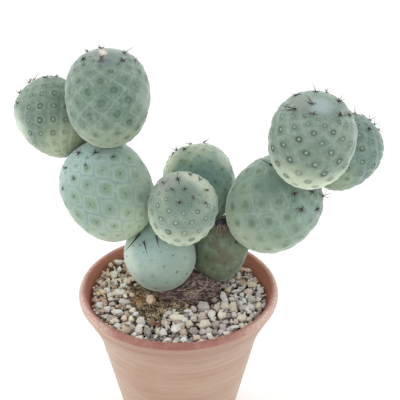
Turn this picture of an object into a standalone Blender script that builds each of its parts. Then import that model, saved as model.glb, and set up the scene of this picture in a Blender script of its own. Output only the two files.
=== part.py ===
"""A potted tephrocactus: round stem segments on a short woody base, in a clay pot of soil and gravel.

Everything is in metres. The Z axis is the pot's axis, and the pot's foot rests on Z = 0.
"""

import math
import random

import bmesh
import bpy
from mathutils import Matrix, Vector, noise

for leftover in list(bpy.data.objects):
    bpy.data.objects.remove(leftover, do_unlink=True)

# The pot
POT_HEIGHT = 0.082
RIM_RADIUS = 0.0475
LIP_WIDTH = 0.0034
LIP_HEIGHT = 0.0053
LIP_OVERHANG = 0.0022
LIP_ROUNDING = 0.0006
BAND_HEIGHT = 0.0100
BAND_FOOT_RADIUS = 0.0438
SHOULDER_HEIGHT = 0.0255
SHOULDER_RADIUS = 0.0374
SHOULDER_HOLLOW = 1.25
WALL_SLOPE = 0.235
WALL_THICKNESS = 0.0040
FLOOR_THICKNESS = 0.0050
# The inside goes nearly straight down behind the lip, as far as this depth
INNER_DEPTH = 0.0080
INNER_STEP = 0.0020
POT_SIDES = 40
DRAIN_HOLES = 3
DRAIN_HOLE_RADIUS = 0.0025
DRAIN_RING_RADIUS = 0.0110

# What fills the pot, with its levels measured down from the rim
GAP = 0.0003
SOIL_DEPTH = 0.0110
GRAVEL_BED_DEPTH = 0.0076
MOUND_DEPTH = 0.0078
MOUND_DRAFT = 0.97
MOUND_ROOT = 0.004
OVAL_SIDES = 28
# A stone's length is twice its size, which varies, and its width and height are shares of that.
# Distances from the pot's wall are in sizes.
STONE_SPACING = 0.0060
STONE_SHAKE = 0.0011
STONE_FROM_WALL = 1.15
INNER_STONES_FROM_WALL = 2.4
STONE_RADIUS = 0.0038
STONE_SIZES = (0.80, 1.15)
STONE_WIDTHS = (0.72, 0.95)
STONE_HEIGHTS = (0.62, 0.85)
STONE_KNOCKS = (0.86, 1.08)
STONE_STANDS = (0.0002, 0.0010)
# The gravel leaves the trunk free, and a patch of bare soil in front of it
BED_HOLES = (
    (Vector((0.0050, 0.0065, 0.0)), Vector((0.0186, 0.0146, 0.0))),
    (Vector((-0.0045, -0.0035, 0.0)), Vector((0.0110, 0.0095, 0.0))),
)

# The woody base: a low knotted mound that narrows into one root
BASE_CENTRE = Vector((0.005, 0.0070, POT_HEIGHT - 0.0080))
BASE_HALF = Vector((0.0160, 0.0115, 0.0105))
BASE_RIDGE = 0.0020
KNOTS_ROUND = 2.6
KNOTS_UP = 3.0
BASE_SIDES = 24
BASE_RINGS = 12
ROOT_LENGTH = 0.030
ROOT_TIP_SHARE = 0.14

# The stem segments
BASE_SEGMENTS = ("segment_left_base", "segment_right_base")
ROUNDNESS = 2.2
TOP_HEAVY = 0.06
# How far the rows of tubercles go from the middle of an egg, on the scale that draws them together
ROW_REACH = 1.62
TUBERCLE_SHRINK = 0.5
HOLLOW_SHARE = 0.4
SPINE_CHANCE = 0.20
SPINE_LENGTH = 0.0062
SPINE_RADIUS = 0.00034
SPINE_ROOT = 0.0016
SPINE_TAPER = 0.25
SPINE_LEAN = 0.75
SPINE_CLEARANCE = 0.0008


class Segment:
    """One stem segment: an egg with its narrow end on what it grows from, in rows of low tubercles."""

    def __init__(
        self,
        centre_mm,
        heading,
        tilt,
        length_mm,
        width_mm,
        columns,
        row_step,
        phase,
        relief_mm,
        spined_rows,
    ):
        self.centre = Vector(centre_mm) / 1000 + Vector((0.0, 0.0, POT_HEIGHT))
        self.turn = (
            Matrix.Rotation(math.radians(heading), 3, "Z")
            @ Matrix.Rotation(math.radians(tilt), 3, "Y")
            @ Matrix.Rotation(math.radians(-heading), 3, "Z")
        )
        self.half_length = length_mm / 2000
        self.half_width = width_mm / 2000
        self.row_step = row_step
        self.phase = math.radians(phase)
        self.relief = relief_mm / 1000
        self.spined_rows = spined_rows
        self.sides = columns * 2
        self.rings = 2 * int(ROW_REACH / row_step) + 2

    def radius_at(self, along):
        """The egg's radius at a place along its axis, from -1 at the joint to 1 at the tip."""
        round_end = max(0.0, 1.0 - abs(along) ** ROUNDNESS) ** (1.0 / ROUNDNESS)
        return self.half_width * round_end * (1.0 + TOP_HEAVY * along)

    def surface(self, row, column):
        """The place on the smooth egg at a row and column. Rows draw together towards both ends."""
        along = math.tanh(self.row_step * row)
        heading = self.phase + math.tau * column / self.sides
        out = Vector((math.cos(heading), math.sin(heading), 0.0))
        return out * self.radius_at(along) + Vector((0.0, 0.0, self.half_length * along))

    def distance_outside(self, point):
        """About how far a world point lies outside the smooth egg, below zero inside it."""
        local = self.turn.transposed() @ (point - self.centre)
        along = local.z / self.half_length
        wide = self.half_width * (1.0 + TOP_HEAVY * max(-1.0, min(1.0, along)))
        across = math.hypot(local.x, local.y) / wide
        share = (abs(along) ** ROUNDNESS + across**ROUNDNESS) ** (1.0 / ROUNDNESS)
        return (1.0 - 1.0 / max(share, 1e-6)) * local.length


# Centres are from the middle of the rim, in mm. Heading and tilt say which way the tip leans, in degrees.
# Then come the length and width in mm, the columns of tubercles round the egg, the step from row to row,
# the turn of the first column, how far a tubercle stands out in mm, and how many rows at the tip have spines.
SEGMENTS = {
    "segment_left_base": Segment((-8.6, 6.9, 13.1), 206, 17, 33.0, 33.8, 10, 0.27, 8, 0.25, 3),
    "segment_right_base": Segment((19.8, 18.1, 10.2), 13, 15, 34.0, 27.0, 9, 0.30, 0, 0.25, 1),
    "segment_left_middle": Segment((-32.9, 15.3, 43.9), 153, 31, 49.2, 42.0, 10, 0.26, 0, 0.40, 4),
    "segment_front": Segment((2.1, -1.1, 43.6), 317, 13, 34.2, 31.6, 12, 0.28, -12, 0.45, 4),
    "segment_left_top": Segment((-31.8, 20.1, 89.8), 90, 11, 45.4, 38.4, 10, 0.25, -13, 0.45, 3),
    "segment_left_outer": Segment((-58.6, 37.8, 71.1), 146, 49, 40.2, 33.8, 12, 0.22, -8, 0.40, 4),
    "segment_back": Segment((10.0, 35.1, 36.6), 108, 37, 39.0, 34.6, 11, 0.27, 0, 0.40, 4),
    "segment_right_middle": Segment((44.6, 12.9, 37.5), 352, 35, 47.8, 42.8, 12, 0.25, 0, 0.40, 4),
    "segment_right_top": Segment((60.1, 0.7, 78.0), 305, 12, 45.2, 38.8, 11, 0.27, -15, 0.50, 4),
    "segment_right_outer": Segment((78.3, 29.0, 57.1), 35, 57, 38.4, 33.2, 10, 0.23, -10, 0.45, 5),
}
GROWS_FROM = {
    "segment_left_middle": "segment_left_base",
    "segment_front": "segment_left_base",
    "segment_left_top": "segment_left_middle",
    "segment_left_outer": "segment_left_middle",
    "segment_back": "segment_right_base",
    "segment_right_middle": "segment_right_base",
    "segment_right_top": "segment_right_middle",
    "segment_right_outer": "segment_right_middle",
}


def make_material(name, colour, roughness):
    material = bpy.data.materials.new(name)
    material.use_nodes = True
    shader = material.node_tree.nodes["Principled BSDF"]
    shader.inputs["Base Color"].default_value = (*colour, 1.0)
    shader.inputs["Roughness"].default_value = roughness
    shader.inputs["Metallic"].default_value = 0.0
    return material


CLAY = make_material("clay", (0.48, 0.33, 0.25), 0.85)
SOIL = make_material("soil", (0.10, 0.07, 0.045), 0.95)
GRAVEL = make_material("gravel", (0.42, 0.37, 0.31), 0.90)
BARK = make_material("bark", (0.17, 0.12, 0.10), 0.90)
SKIN = make_material("skin", (0.22, 0.31, 0.26), 0.60)


def add_object(name, bm, material=None):
    """Turns a bmesh into an object of the scene."""
    mesh = bpy.data.meshes.new(name)
    bm.to_mesh(mesh)
    bm.free()
    obj = bpy.data.objects.new(name, mesh)
    bpy.context.scene.collection.objects.link(obj)
    if material:
        mesh.materials.append(material)
    return obj


def turn_profile(points, sides):
    """A solid of revolution about Z from a profile that starts and ends on the axis."""
    bm = bmesh.new()
    verts = [bm.verts.new((radius, 0.0, height)) for radius, height in points]
    edges = [bm.edges.new(pair) for pair in zip(verts, verts[1:])]
    bmesh.ops.spin(
        bm,
        geom=verts + edges,
        cent=(0, 0, 0),
        axis=(0, 0, 1),
        angle=math.tau,
        steps=sides,
        use_merge=True,
    )
    bmesh.ops.remove_doubles(bm, verts=bm.verts, dist=1e-6)
    bmesh.ops.recalc_face_normals(bm, faces=bm.faces)
    return bm


def apply_boolean(obj, operation, others):
    """Joins or cuts with a collection of helpers, applies it, and removes the helpers."""
    helpers = bpy.data.collections.new(obj.name + "_helpers")
    for other in others:
        helpers.objects.link(other)
    modifier = obj.modifiers.new("boolean", "BOOLEAN")
    modifier.operation = operation
    modifier.operand_type = "COLLECTION"
    modifier.collection = helpers
    modifier.solver = "EXACT"
    modifier.use_self = operation == "UNION"
    bpy.context.view_layer.update()
    graph = bpy.context.evaluated_depsgraph_get()
    result = bpy.data.meshes.new_from_object(obj.evaluated_get(graph))
    materials = list(obj.data.materials)
    obj.modifiers.remove(modifier)
    obj.data = result
    result.materials.clear()
    for material in materials:
        result.materials.append(material)
    for other in others:
        bpy.data.objects.remove(other, do_unlink=True)
    bpy.data.collections.remove(helpers)


def keep_largest_body(obj):
    """Drops any loose scrap or closed bubble that a join leaves behind."""
    bm = bmesh.new()
    bm.from_mesh(obj.data)
    left = set(bm.faces)
    bodies = []
    while left:
        body = {left.pop()}
        to_visit = list(body)
        while to_visit:
            face = to_visit.pop()
            for edge in face.edges:
                for other in edge.link_faces:
                    if other in left:
                        left.discard(other)
                        body.add(other)
                        to_visit.append(other)
        bodies.append(body)
    bodies.sort(key=len)
    scraps = [face for body in bodies[:-1] for face in body]
    bmesh.ops.delete(bm, geom=scraps, context="FACES")
    bm.to_mesh(obj.data)
    bm.free()


def shade(obj, angle_degrees):
    obj.data.shade_smooth()
    obj.data.set_sharp_from_angle(angle=math.radians(angle_degrees))


# The pot is one turned shell: foot, tapering wall, flared shoulder, plain band and rounded lip
def wall_radius(depth):
    """The outer radius of the wall, below the shoulder."""
    return SHOULDER_RADIUS - WALL_SLOPE * (depth - SHOULDER_HEIGHT)


def inner_radius(depth):
    """The radius of the pot's inside at a depth under the rim."""
    top = RIM_RADIUS - LIP_WIDTH
    under_lip = top - INNER_STEP
    under_shoulder = wall_radius(SHOULDER_HEIGHT) - WALL_THICKNESS
    if depth > SHOULDER_HEIGHT:
        return wall_radius(depth) - WALL_THICKNESS
    if depth > INNER_DEPTH:
        share = (depth - INNER_DEPTH) / (SHOULDER_HEIGHT - INNER_DEPTH)
        return under_lip + (under_shoulder - under_lip) * share
    return top - INNER_STEP * depth / INNER_DEPTH


def pot_profile():
    points = [(0.0, 0.0), (wall_radius(POT_HEIGHT), 0.0)]
    points.append((SHOULDER_RADIUS, POT_HEIGHT - SHOULDER_HEIGHT))
    # The shoulder is hollow: it flares out faster towards the band
    for share in (0.35, 0.7):
        depth = SHOULDER_HEIGHT + (BAND_HEIGHT - SHOULDER_HEIGHT) * share
        radius = SHOULDER_RADIUS + (BAND_FOOT_RADIUS - SHOULDER_RADIUS) * share**SHOULDER_HOLLOW
        points.append((radius, POT_HEIGHT - depth))
    points.append((BAND_FOOT_RADIUS, POT_HEIGHT - BAND_HEIGHT))
    points.append((RIM_RADIUS - LIP_OVERHANG, POT_HEIGHT - LIP_HEIGHT - LIP_ROUNDING))
    # The lip is a half round roll
    middle = LIP_HEIGHT / 2
    for degrees in (-75, -40, 0, 40, 75):
        angle = math.radians(degrees)
        radius = RIM_RADIUS - LIP_WIDTH / 2 + LIP_WIDTH / 2 * math.cos(angle)
        points.append((radius, POT_HEIGHT - middle + middle * math.sin(angle)))
    points.append((RIM_RADIUS - LIP_WIDTH + LIP_ROUNDING, POT_HEIGHT))
    points.append((RIM_RADIUS - LIP_WIDTH, POT_HEIGHT - LIP_ROUNDING))
    for depth in (INNER_DEPTH, SHOULDER_HEIGHT):
        points.append((inner_radius(depth), POT_HEIGHT - depth))
    floor_depth = POT_HEIGHT - FLOOR_THICKNESS
    points.append((inner_radius(floor_depth), FLOOR_THICKNESS))
    points.append((0.0, FLOOR_THICKNESS))
    return points


def make_pot():
    pot = add_object("pot", turn_profile(pot_profile(), POT_SIDES), CLAY)
    drills = []
    for index in range(DRAIN_HOLES):
        angle = math.tau * index / DRAIN_HOLES
        bm = bmesh.new()
        bmesh.ops.create_cone(
            bm,
            cap_ends=True,
            segments=12,
            radius1=DRAIN_HOLE_RADIUS,
            radius2=DRAIN_HOLE_RADIUS,
            depth=FLOOR_THICKNESS * 3,
        )
        drill = add_object("drain_drill", bm)
        drill.location = (DRAIN_RING_RADIUS * math.cos(angle), DRAIN_RING_RADIUS * math.sin(angle), 0.0)
        drills.append(drill)
    apply_boolean(pot, "DIFFERENCE", drills)
    shade(pot, 35)


# The woody base is knotted above the soil and narrows into a root below it
def base_radius_and_height(share, clearance):
    """Radius as a share of the mound's width, and height, from the root's tip at 0 to the top at 1."""
    angle = math.pi * (share - 0.5)
    if angle >= 0.0:
        return math.cos(angle), (BASE_HALF.z + clearance) * math.sin(angle)
    down = -math.sin(angle)
    narrowing = ROOT_TIP_SHARE + (1.0 - ROOT_TIP_SHARE) * math.cos(angle) ** 3
    return narrowing * min(1.0, math.cos(angle) * 6.0), -(ROOT_LENGTH + clearance) * down**2


def make_base_shape(name, clearance):
    """The mound and root, or with a clearance the plain hole that they stand in."""
    bm = bmesh.new()
    bmesh.ops.create_uvsphere(bm, u_segments=BASE_SIDES, v_segments=BASE_RINGS, radius=1.0)
    for vert in bm.verts:
        heading = math.atan2(vert.co.y, vert.co.x)
        share = 0.5 + math.asin(max(-1.0, min(1.0, vert.co.z))) / math.pi
        radius, height = base_radius_and_height(share, clearance)
        knot = Vector((math.cos(heading) * KNOTS_ROUND, math.sin(heading) * KNOTS_ROUND, share * KNOTS_UP))
        out = clearance + BASE_RIDGE * noise.noise(knot)
        if radius > 1e-6:
            wide = BASE_HALF.x * radius + out
            deep = BASE_HALF.y * radius + out
            vert.co = Vector((wide * math.cos(heading), deep * math.sin(heading), height))
        else:
            vert.co = Vector((0.0, 0.0, height))
    bmesh.ops.triangulate(bm, faces=bm.faces, quad_method="FIXED")
    obj = add_object(name, bm)
    obj.location = BASE_CENTRE
    return obj


def egg_mesh(segment, clearance, tubercles):
    """The segment's egg about its own origin, with its rows of tubercles if they are asked for."""
    sides = segment.sides
    rings = segment.rings
    bm = bmesh.new()
    bmesh.ops.create_uvsphere(bm, u_segments=sides, v_segments=rings, radius=1.0)
    raised = set()
    for vert in bm.verts:
        latitude = math.asin(max(-1.0, min(1.0, vert.co.z)))
        row = round(latitude / math.pi * rings)
        if abs(row) * 2 == rings:
            vert.co = Vector((0.0, 0.0, math.copysign(segment.half_length + clearance, row)))
            continue
        column = round(math.atan2(vert.co.x, -vert.co.y) / math.tau * sides) % sides
        surface = segment.surface(row, column)
        height = clearance
        if tubercles and abs(row) * 2 < rings - 2:
            size = segment.relief * (1.0 - TUBERCLE_SHRINK * abs(surface.z) / segment.half_length)
            is_areole = (row + column) % 2 == 0
            height += size if is_areole else -HOLLOW_SHARE * size
            if is_areole:
                raised.add(vert)
        vert.co = surface + surface.normalized() * height
    # Each diamond of four faces meets at its areole
    for face in list(bm.faces):
        low = [vert for vert in face.verts if vert not in raised]
        if len(face.verts) == 4 and len(low) == 2:
            bmesh.utils.face_split(face, low[0], low[1])
    bmesh.ops.triangulate(bm, faces=bm.faces)
    bmesh.ops.recalc_face_normals(bm, faces=bm.faces)
    return bm


def place(obj, segment):
    obj.matrix_world = Matrix.Translation(segment.centre) @ segment.turn.to_4x4()


def cut_flat(bm, segment, plane_point, plane_normal):
    """Slices off what lies past a plane, given in world space, and closes the cut."""
    back = segment.turn.transposed()
    sliced = bmesh.ops.bisect_plane(
        bm,
        geom=bm.verts[:] + bm.edges[:] + bm.faces[:],
        plane_co=back @ (plane_point - segment.centre),
        plane_no=back @ plane_normal,
        clear_outer=True,
    )
    rim = [item for item in sliced["geom_cut"] if isinstance(item, bmesh.types.BMEdge)]
    bmesh.ops.holes_fill(bm, edges=rim, sides=0)


def joint_plane(child, carrier, child_bm, carrier_bm):
    """The middle of the shallow overlap of two eggs, where the joint's flat scar lies."""
    toward_child = (child.centre - carrier.centre).normalized()
    far_side = max((carrier.turn @ vert.co).dot(toward_child) for vert in carrier_bm.verts)
    child_on_carrier = child.centre - carrier.centre
    near_side = min((child.turn @ vert.co + child_on_carrier).dot(toward_child) for vert in child_bm.verts)
    return carrier.centre + toward_child * (far_side + near_side) / 2, toward_child


def areoles(segment):
    """The places of the spined areoles on the smooth egg, with the way out of the surface there."""
    top_row = segment.rings // 2 - 2
    for row in range(top_row - segment.spined_rows + 1, top_row + 1):
        for column in range(row % 2, segment.sides, 2):
            point = segment.surface(row, column)
            yield top_row - row, point, point.normalized()


def spine_is_clear(name, root, tip):
    for other_name, other in SEGMENTS.items():
        if other_name == name:
            continue
        for share in (0.0, 0.35, 0.7, 1.0):
            if other.distance_outside(root.lerp(tip, share)) < SPINE_CLEARANCE:
                return False
    return tip.z > POT_HEIGHT


def make_spines(name, segment, chance, draw):
    """Stiff three sided spines in tufts of two or three at the areoles round the tip."""
    spines = []
    for rows_down, point, out in areoles(segment):
        wanted = 3 if rows_down == 0 else 2
        for index in range(wanted):
            if draw.random() > chance:
                continue
            lean = Vector((draw.uniform(-1, 1), draw.uniform(-1, 1), draw.uniform(-0.2, 1.0)))
            way = (out + lean * SPINE_LEAN).normalized()
            if way.dot(out) < 0.5:
                way = (way + out).normalized()
            length = draw.uniform(SPINE_LENGTH * 0.5, SPINE_LENGTH)
            root = segment.centre + segment.turn @ (point - way * SPINE_ROOT)
            tip = segment.centre + segment.turn @ (point + way * length)
            if not spine_is_clear(name, root, tip):
                continue
            bm = bmesh.new()
            bmesh.ops.create_cone(
                bm,
                cap_ends=True,
                segments=3,
                radius1=SPINE_RADIUS,
                radius2=SPINE_RADIUS * SPINE_TAPER,
                depth=(tip - root).length,
            )
            spine = add_object(name + "_spine", bm)
            aim = (tip - root).to_track_quat("Z", "Y").to_matrix().to_4x4()
            spine.matrix_world = Matrix.Translation((root + tip) / 2) @ aim
            spines.append(spine)
    return spines


def make_segments():
    """All ten segments, cut flat where they join, with their spines fused on."""
    meshes = {name: egg_mesh(segment, 0.0, True) for name, segment in SEGMENTS.items()}
    scars = {
        child: joint_plane(SEGMENTS[child], SEGMENTS[carrier], meshes[child], meshes[carrier])
        for child, carrier in GROWS_FROM.items()
    }
    for child, (point, toward_child) in scars.items():
        carrier = GROWS_FROM[child]
        cut_flat(meshes[child], SEGMENTS[child], point + toward_child * GAP / 2, -toward_child)
        cut_flat(meshes[carrier], SEGMENTS[carrier], point - toward_child * GAP / 2, toward_child)
    draw = random.Random(7)
    for name, segment in SEGMENTS.items():
        obj = add_object(name, meshes[name], SKIN)
        place(obj, segment)
        spines = make_spines(name, segment, SPINE_CHANCE, draw)
        if spines:
            apply_boolean(obj, "UNION", spines)
            keep_largest_body(obj)
        shade(obj, 6)


# The soil fills the pot and rises in a low mound through the gravel, round the woody base
def fill_radius(depth):
    return inner_radius(depth) - GAP * 1.5


def oval_block(name, middle, half, bottom, top, draft):
    """An upright oval block, a little narrower at its top where there is a draft."""
    bm = bmesh.new()
    bmesh.ops.create_cone(
        bm,
        cap_ends=True,
        segments=OVAL_SIDES,
        radius1=1.0,
        radius2=draft,
        depth=top - bottom,
    )
    bmesh.ops.scale(bm, verts=bm.verts, vec=(half.x, half.y, 1.0))
    bmesh.ops.translate(bm, verts=bm.verts, vec=middle + Vector((0.0, 0.0, (top + bottom) / 2)))
    return add_object(name, bm)


def make_soil():
    floor_depth = POT_HEIGHT - FLOOR_THICKNESS - GAP
    depths = (floor_depth, SHOULDER_HEIGHT, SOIL_DEPTH)
    profile = [(0.0, POT_HEIGHT - floor_depth)]
    profile += [(fill_radius(depth), POT_HEIGHT - depth) for depth in depths]
    profile.append((0.0, POT_HEIGHT - SOIL_DEPTH))
    soil = add_object("soil", turn_profile(profile, POT_SIDES), SOIL)
    mounds = []
    for middle, half in BED_HOLES:
        inside = half - Vector((GAP, GAP, 0.0))
        bottom = POT_HEIGHT - SOIL_DEPTH - MOUND_ROOT
        mounds.append(oval_block("mound", middle, inside, bottom, POT_HEIGHT - MOUND_DEPTH, MOUND_DRAFT))
    apply_boolean(soil, "UNION", mounds)
    apply_boolean(soil, "DIFFERENCE", [make_base_shape("root_hole", GAP * 1.6)])
    keep_largest_body(soil)
    shade(soil, 40)


def make_woody_base():
    base = make_base_shape("woody_base", 0.0)
    base.data.materials.append(BARK)
    seats = []
    for name in BASE_SEGMENTS:
        seat = add_object("seat", egg_mesh(SEGMENTS[name], GAP + SEGMENTS[name].relief, False))
        place(seat, SEGMENTS[name])
        seats.append(seat)
    apply_boolean(base, "DIFFERENCE", seats)
    keep_largest_body(base)
    shade(base, 15)


# The gravel is a thin bed with its top stones standing out of it, from the pot's wall to the mound of soil
def stone_places(draw):
    """One ring of stones along the wall, then a shaken honeycomb inside it, clear of the bed's holes."""
    wall = fill_radius(GRAVEL_BED_DEPTH)
    ring_count = int(math.tau * (wall - STONE_RADIUS) / STONE_SPACING)
    for index in range(ring_count):
        size = STONE_RADIUS * draw.uniform(*STONE_SIZES)
        angle = math.tau * (index + draw.uniform(-0.2, 0.2)) / ring_count
        yield Vector((math.cos(angle), math.sin(angle), 0.0)) * (wall - STONE_FROM_WALL * size), size
    row_height = STONE_SPACING * math.sqrt(3) / 2
    reach = int(RIM_RADIUS / row_height) + 1
    for row in range(-reach, reach + 1):
        for column in range(-reach, reach + 1):
            x = (column + 0.5 * (row % 2)) * STONE_SPACING + draw.uniform(-STONE_SHAKE, STONE_SHAKE)
            y = row * row_height + draw.uniform(-STONE_SHAKE, STONE_SHAKE)
            size = STONE_RADIUS * draw.uniform(*STONE_SIZES)
            in_hole = any(
                math.hypot((x - middle.x) / (half.x + size), (y - middle.y) / (half.y + size)) < 1.0
                for middle, half in BED_HOLES
            )
            if math.hypot(x, y) < wall - INNER_STONES_FROM_WALL * STONE_RADIUS and not in_hole:
                yield Vector((x, y, 0.0)), size


def make_stone(place_on_bed, size, draw):
    bm = bmesh.new()
    bmesh.ops.create_icosphere(bm, subdivisions=1, radius=1.0)
    for vert in bm.verts:
        vert.co *= draw.uniform(*STONE_KNOCKS)
    heading = Matrix.Rotation(draw.uniform(0, math.tau), 3, "Z")
    tilt = Matrix.Rotation(draw.uniform(-0.5, 0.5), 3, "X")
    shape = Matrix.Diagonal((1.0, draw.uniform(*STONE_WIDTHS), draw.uniform(*STONE_HEIGHTS))) * size
    bmesh.ops.transform(bm, matrix=(heading @ tilt @ shape).to_4x4(), verts=bm.verts)
    stone = add_object("stone", bm)
    height = POT_HEIGHT - GRAVEL_BED_DEPTH + draw.uniform(*STONE_STANDS)
    stone.location = place_on_bed + Vector((0.0, 0.0, height))
    return stone


def stone_is_clear(stone):
    """True where the stone touches neither a segment nor the pot's wall."""
    for vert in stone.data.vertices:
        point = vert.co + stone.location
        if math.hypot(point.x, point.y) > fill_radius(POT_HEIGHT - point.z):
            return False
        for name in BASE_SEGMENTS:
            if SEGMENTS[name].distance_outside(point) < 2 * GAP + SEGMENTS[name].relief:
                return False
    return True


def make_gravel():
    depths = (SOIL_DEPTH - GAP, INNER_DEPTH, GRAVEL_BED_DEPTH)
    profile = [(0.0, POT_HEIGHT - depths[0])]
    profile += [(fill_radius(depth), POT_HEIGHT - depth) for depth in depths]
    profile.append((0.0, POT_HEIGHT - GRAVEL_BED_DEPTH))
    gravel = add_object("gravel", turn_profile(profile, POT_SIDES), GRAVEL)
    top = POT_HEIGHT - GRAVEL_BED_DEPTH
    holes = [oval_block("bed_hole", middle, half, top - 0.01, top + 0.01, 1.0) for middle, half in BED_HOLES]
    apply_boolean(gravel, "DIFFERENCE", holes)
    draw = random.Random(21)
    stones = []
    for place_on_bed, size in stone_places(draw):
        stone = make_stone(place_on_bed, size, draw)
        if stone_is_clear(stone):
            stones.append(stone)
        else:
            bpy.data.objects.remove(stone, do_unlink=True)
    apply_boolean(gravel, "UNION", stones)
    keep_largest_body(gravel)
    shade(gravel, 10)


make_pot()
make_soil()
make_gravel()
make_woody_base()
make_segments()
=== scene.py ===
"""The looks of a potted tephrocactus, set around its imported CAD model."""

import math
import random

import bmesh
import bpy
from mathutils import Matrix, Vector, noise


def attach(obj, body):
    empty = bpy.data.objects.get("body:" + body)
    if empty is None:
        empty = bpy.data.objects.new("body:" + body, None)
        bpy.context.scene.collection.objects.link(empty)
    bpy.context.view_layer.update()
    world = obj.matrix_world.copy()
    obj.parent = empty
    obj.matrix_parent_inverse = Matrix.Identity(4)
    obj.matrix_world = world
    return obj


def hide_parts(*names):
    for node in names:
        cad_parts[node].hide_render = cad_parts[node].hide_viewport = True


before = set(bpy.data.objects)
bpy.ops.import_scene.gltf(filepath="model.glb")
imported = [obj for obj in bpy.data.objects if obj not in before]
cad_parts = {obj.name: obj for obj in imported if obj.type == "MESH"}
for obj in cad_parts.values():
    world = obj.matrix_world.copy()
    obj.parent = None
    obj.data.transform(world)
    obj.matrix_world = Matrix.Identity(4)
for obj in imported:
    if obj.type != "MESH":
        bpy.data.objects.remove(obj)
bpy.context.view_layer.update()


# The view and light of the photograph. A long lens looks down on the pot from the front. The plant stands
# on a white table in white surroundings, and wide soft lamps at the front and sides leave hardly a shadow.
photo_lens = bpy.data.cameras.new("photo_camera")
photo_lens.lens = 117.0
photo_lens.sensor_width = 36.0
camera = bpy.data.objects.new("photo_camera", photo_lens)
camera.location = (0.0102, -0.5135, 0.4309)
camera.rotation_euler = (math.radians(90.0 - 30.377), 0.0, 0.0)
scene = bpy.context.scene
scene.collection.objects.link(camera)
scene.camera = camera
scene.view_settings.view_transform = "Standard"


def paint(red, green, blue):
    """A colour as light, from the 0 to 255 numbers of a colour card."""
    light = [
        share / 12.92 if share <= 0.04045 else ((share + 0.055) / 1.055) ** 2.4
        for share in (red / 255, green / 255, blue / 255)
    ]
    return (*light, 1.0)


def add_node(tree, kind, *values, **settings):
    """Adds a shader node and fills its sockets in order. None leaves a socket as it is."""
    made = tree.nodes.new("ShaderNode" + kind)
    for setting, value in settings.items():
        setattr(made, setting, value)
    for socket, value in zip(made.inputs, values):
        if isinstance(value, bpy.types.NodeSocket):
            tree.links.new(value, socket)
        elif value is not None:
            socket.default_value = value
    return made


def maths(tree, operation, *values):
    """One step of arithmetic on the values of a pattern."""
    return add_node(tree, "Math", *values, operation=operation).outputs[0]


def ease(tree, value, low, high):
    """Rises smoothly from 0 to 1 between low and high, or falls where low is above high."""
    return add_node(tree, "MapRange", value, low, high, interpolation_type="SMOOTHSTEP").outputs[0]


def tint(tree, share, under, over):
    """Lays one colour over another by a share."""
    made = tree.nodes.new("ShaderNodeMix")
    made.data_type = "RGBA"
    for socket, value in zip((made.inputs[0], made.inputs[6], made.inputs[7]), (share, under, over)):
        if isinstance(value, bpy.types.NodeSocket):
            tree.links.new(value, socket)
        else:
            socket.default_value = value
    return made.outputs[2]


surroundings = bpy.data.worlds.new("white_surroundings")
scene.world = surroundings
surroundings.use_nodes = True
sky = surroundings.node_tree
away = add_node(sky, "SeparateXYZ", sky.nodes.new("ShaderNodeTexCoord").outputs["Generated"])
behind = ease(sky, away.outputs[1], -0.8, 0.9)
sky.nodes["Background"].inputs["Color"].default_value = (1.0, 1.0, 1.0, 1.0)
sky.links.new(maths(sky, "MULTIPLY_ADD", behind, 0.75, 0.75), sky.nodes["Background"].inputs["Strength"])

table_top = bmesh.new()
bmesh.ops.create_circle(table_top, cap_ends=True, segments=96, radius=4.0)
table_mesh = bpy.data.meshes.new("white_table")
table_top.to_mesh(table_mesh)
table_top.free()
table = bpy.data.objects.new("white_table", table_mesh)
scene.collection.objects.link(table)
table_white = bpy.data.materials.new("white_table")
table_white.use_nodes = True
table_white.node_tree.nodes["Principled BSDF"].inputs["Base Color"].default_value = (0.97, 0.97, 0.97, 1.0)
table_white.node_tree.nodes["Principled BSDF"].inputs["Roughness"].default_value = 0.9
table_mesh.materials.append(table_white)

for lamp_name, place, size, power in (
    ("soft_lamp_front", (-0.2, -1.15, 0.75), 0.9, 2.0),
    ("soft_lamp_left", (-1.1, 0.1, 0.40), 0.7, 2.6),
    ("soft_lamp_right", (1.1, 0.0, 0.40), 0.7, 1.8),
):
    panel = bpy.data.lights.new(lamp_name, "AREA")
    panel.shape = "DISK"
    panel.size = size
    panel.energy = power
    lamp = bpy.data.objects.new(lamp_name, panel)
    lamp.location = place
    lamp.rotation_euler = (Vector((0.01, 0.0, 0.11)) - Vector(place)).to_track_quat("-Z", "Y").to_euler()
    scene.collection.objects.link(lamp)


# The pot is one shell of red clay, turned on a wheel. It has a rounded lip, a plain band that ends in a
# small step, a hollow shoulder and a straight taper, with the throwing lines left all round the wall.
# It was fired bare, so lime has dried pale on the wall. Its flat foot has three drain holes.
POT_HEIGHT = 0.082
RIM_RADIUS = 0.0475
LIP_WIDTH = 0.0034
LIP_HEIGHT = 0.0053
BAND_FOOT_RADIUS = 0.0438
BAND_DEPTH = 0.0100
SHOULDER_RADIUS = 0.0374
SHOULDER_DEPTH = 0.0255
WALL_SLOPE = 0.235
WALL_THICKNESS = 0.0040
POT_FLOOR = 0.0050
POT_SIDES = 160
THROWING_STEP = 0.00045
THROWING_DEPTH = 0.00009
RED_LIP_HEIGHT = 0.0020
RIM_MIDDLE = Vector((0.0, 0.0, POT_HEIGHT))
SHOULDER_HOLLOW = 1.25
BAND_STEP = 0.0002
BAND_FLARE = 0.0015
MOUTH_DEPTH = 0.008
MOUTH_NARROWING = 0.0020
FOOT_ROUNDING = 0.0006
DRAIN_HOLES = 3
DRAIN_HOLE_RADIUS = 0.0025
DRAIN_HOLE_PLACE = 0.011


def start_piece(name, bm, *materials):
    """Puts a new mesh into the scene as an object with its materials, and lets go of the mesh's draft."""
    mesh = bpy.data.meshes.new(name)
    bm.to_mesh(mesh)
    bm.free()
    piece = bpy.data.objects.new(name, mesh)
    scene.collection.objects.link(piece)
    for material in materials:
        mesh.materials.append(material)
    return piece


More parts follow.
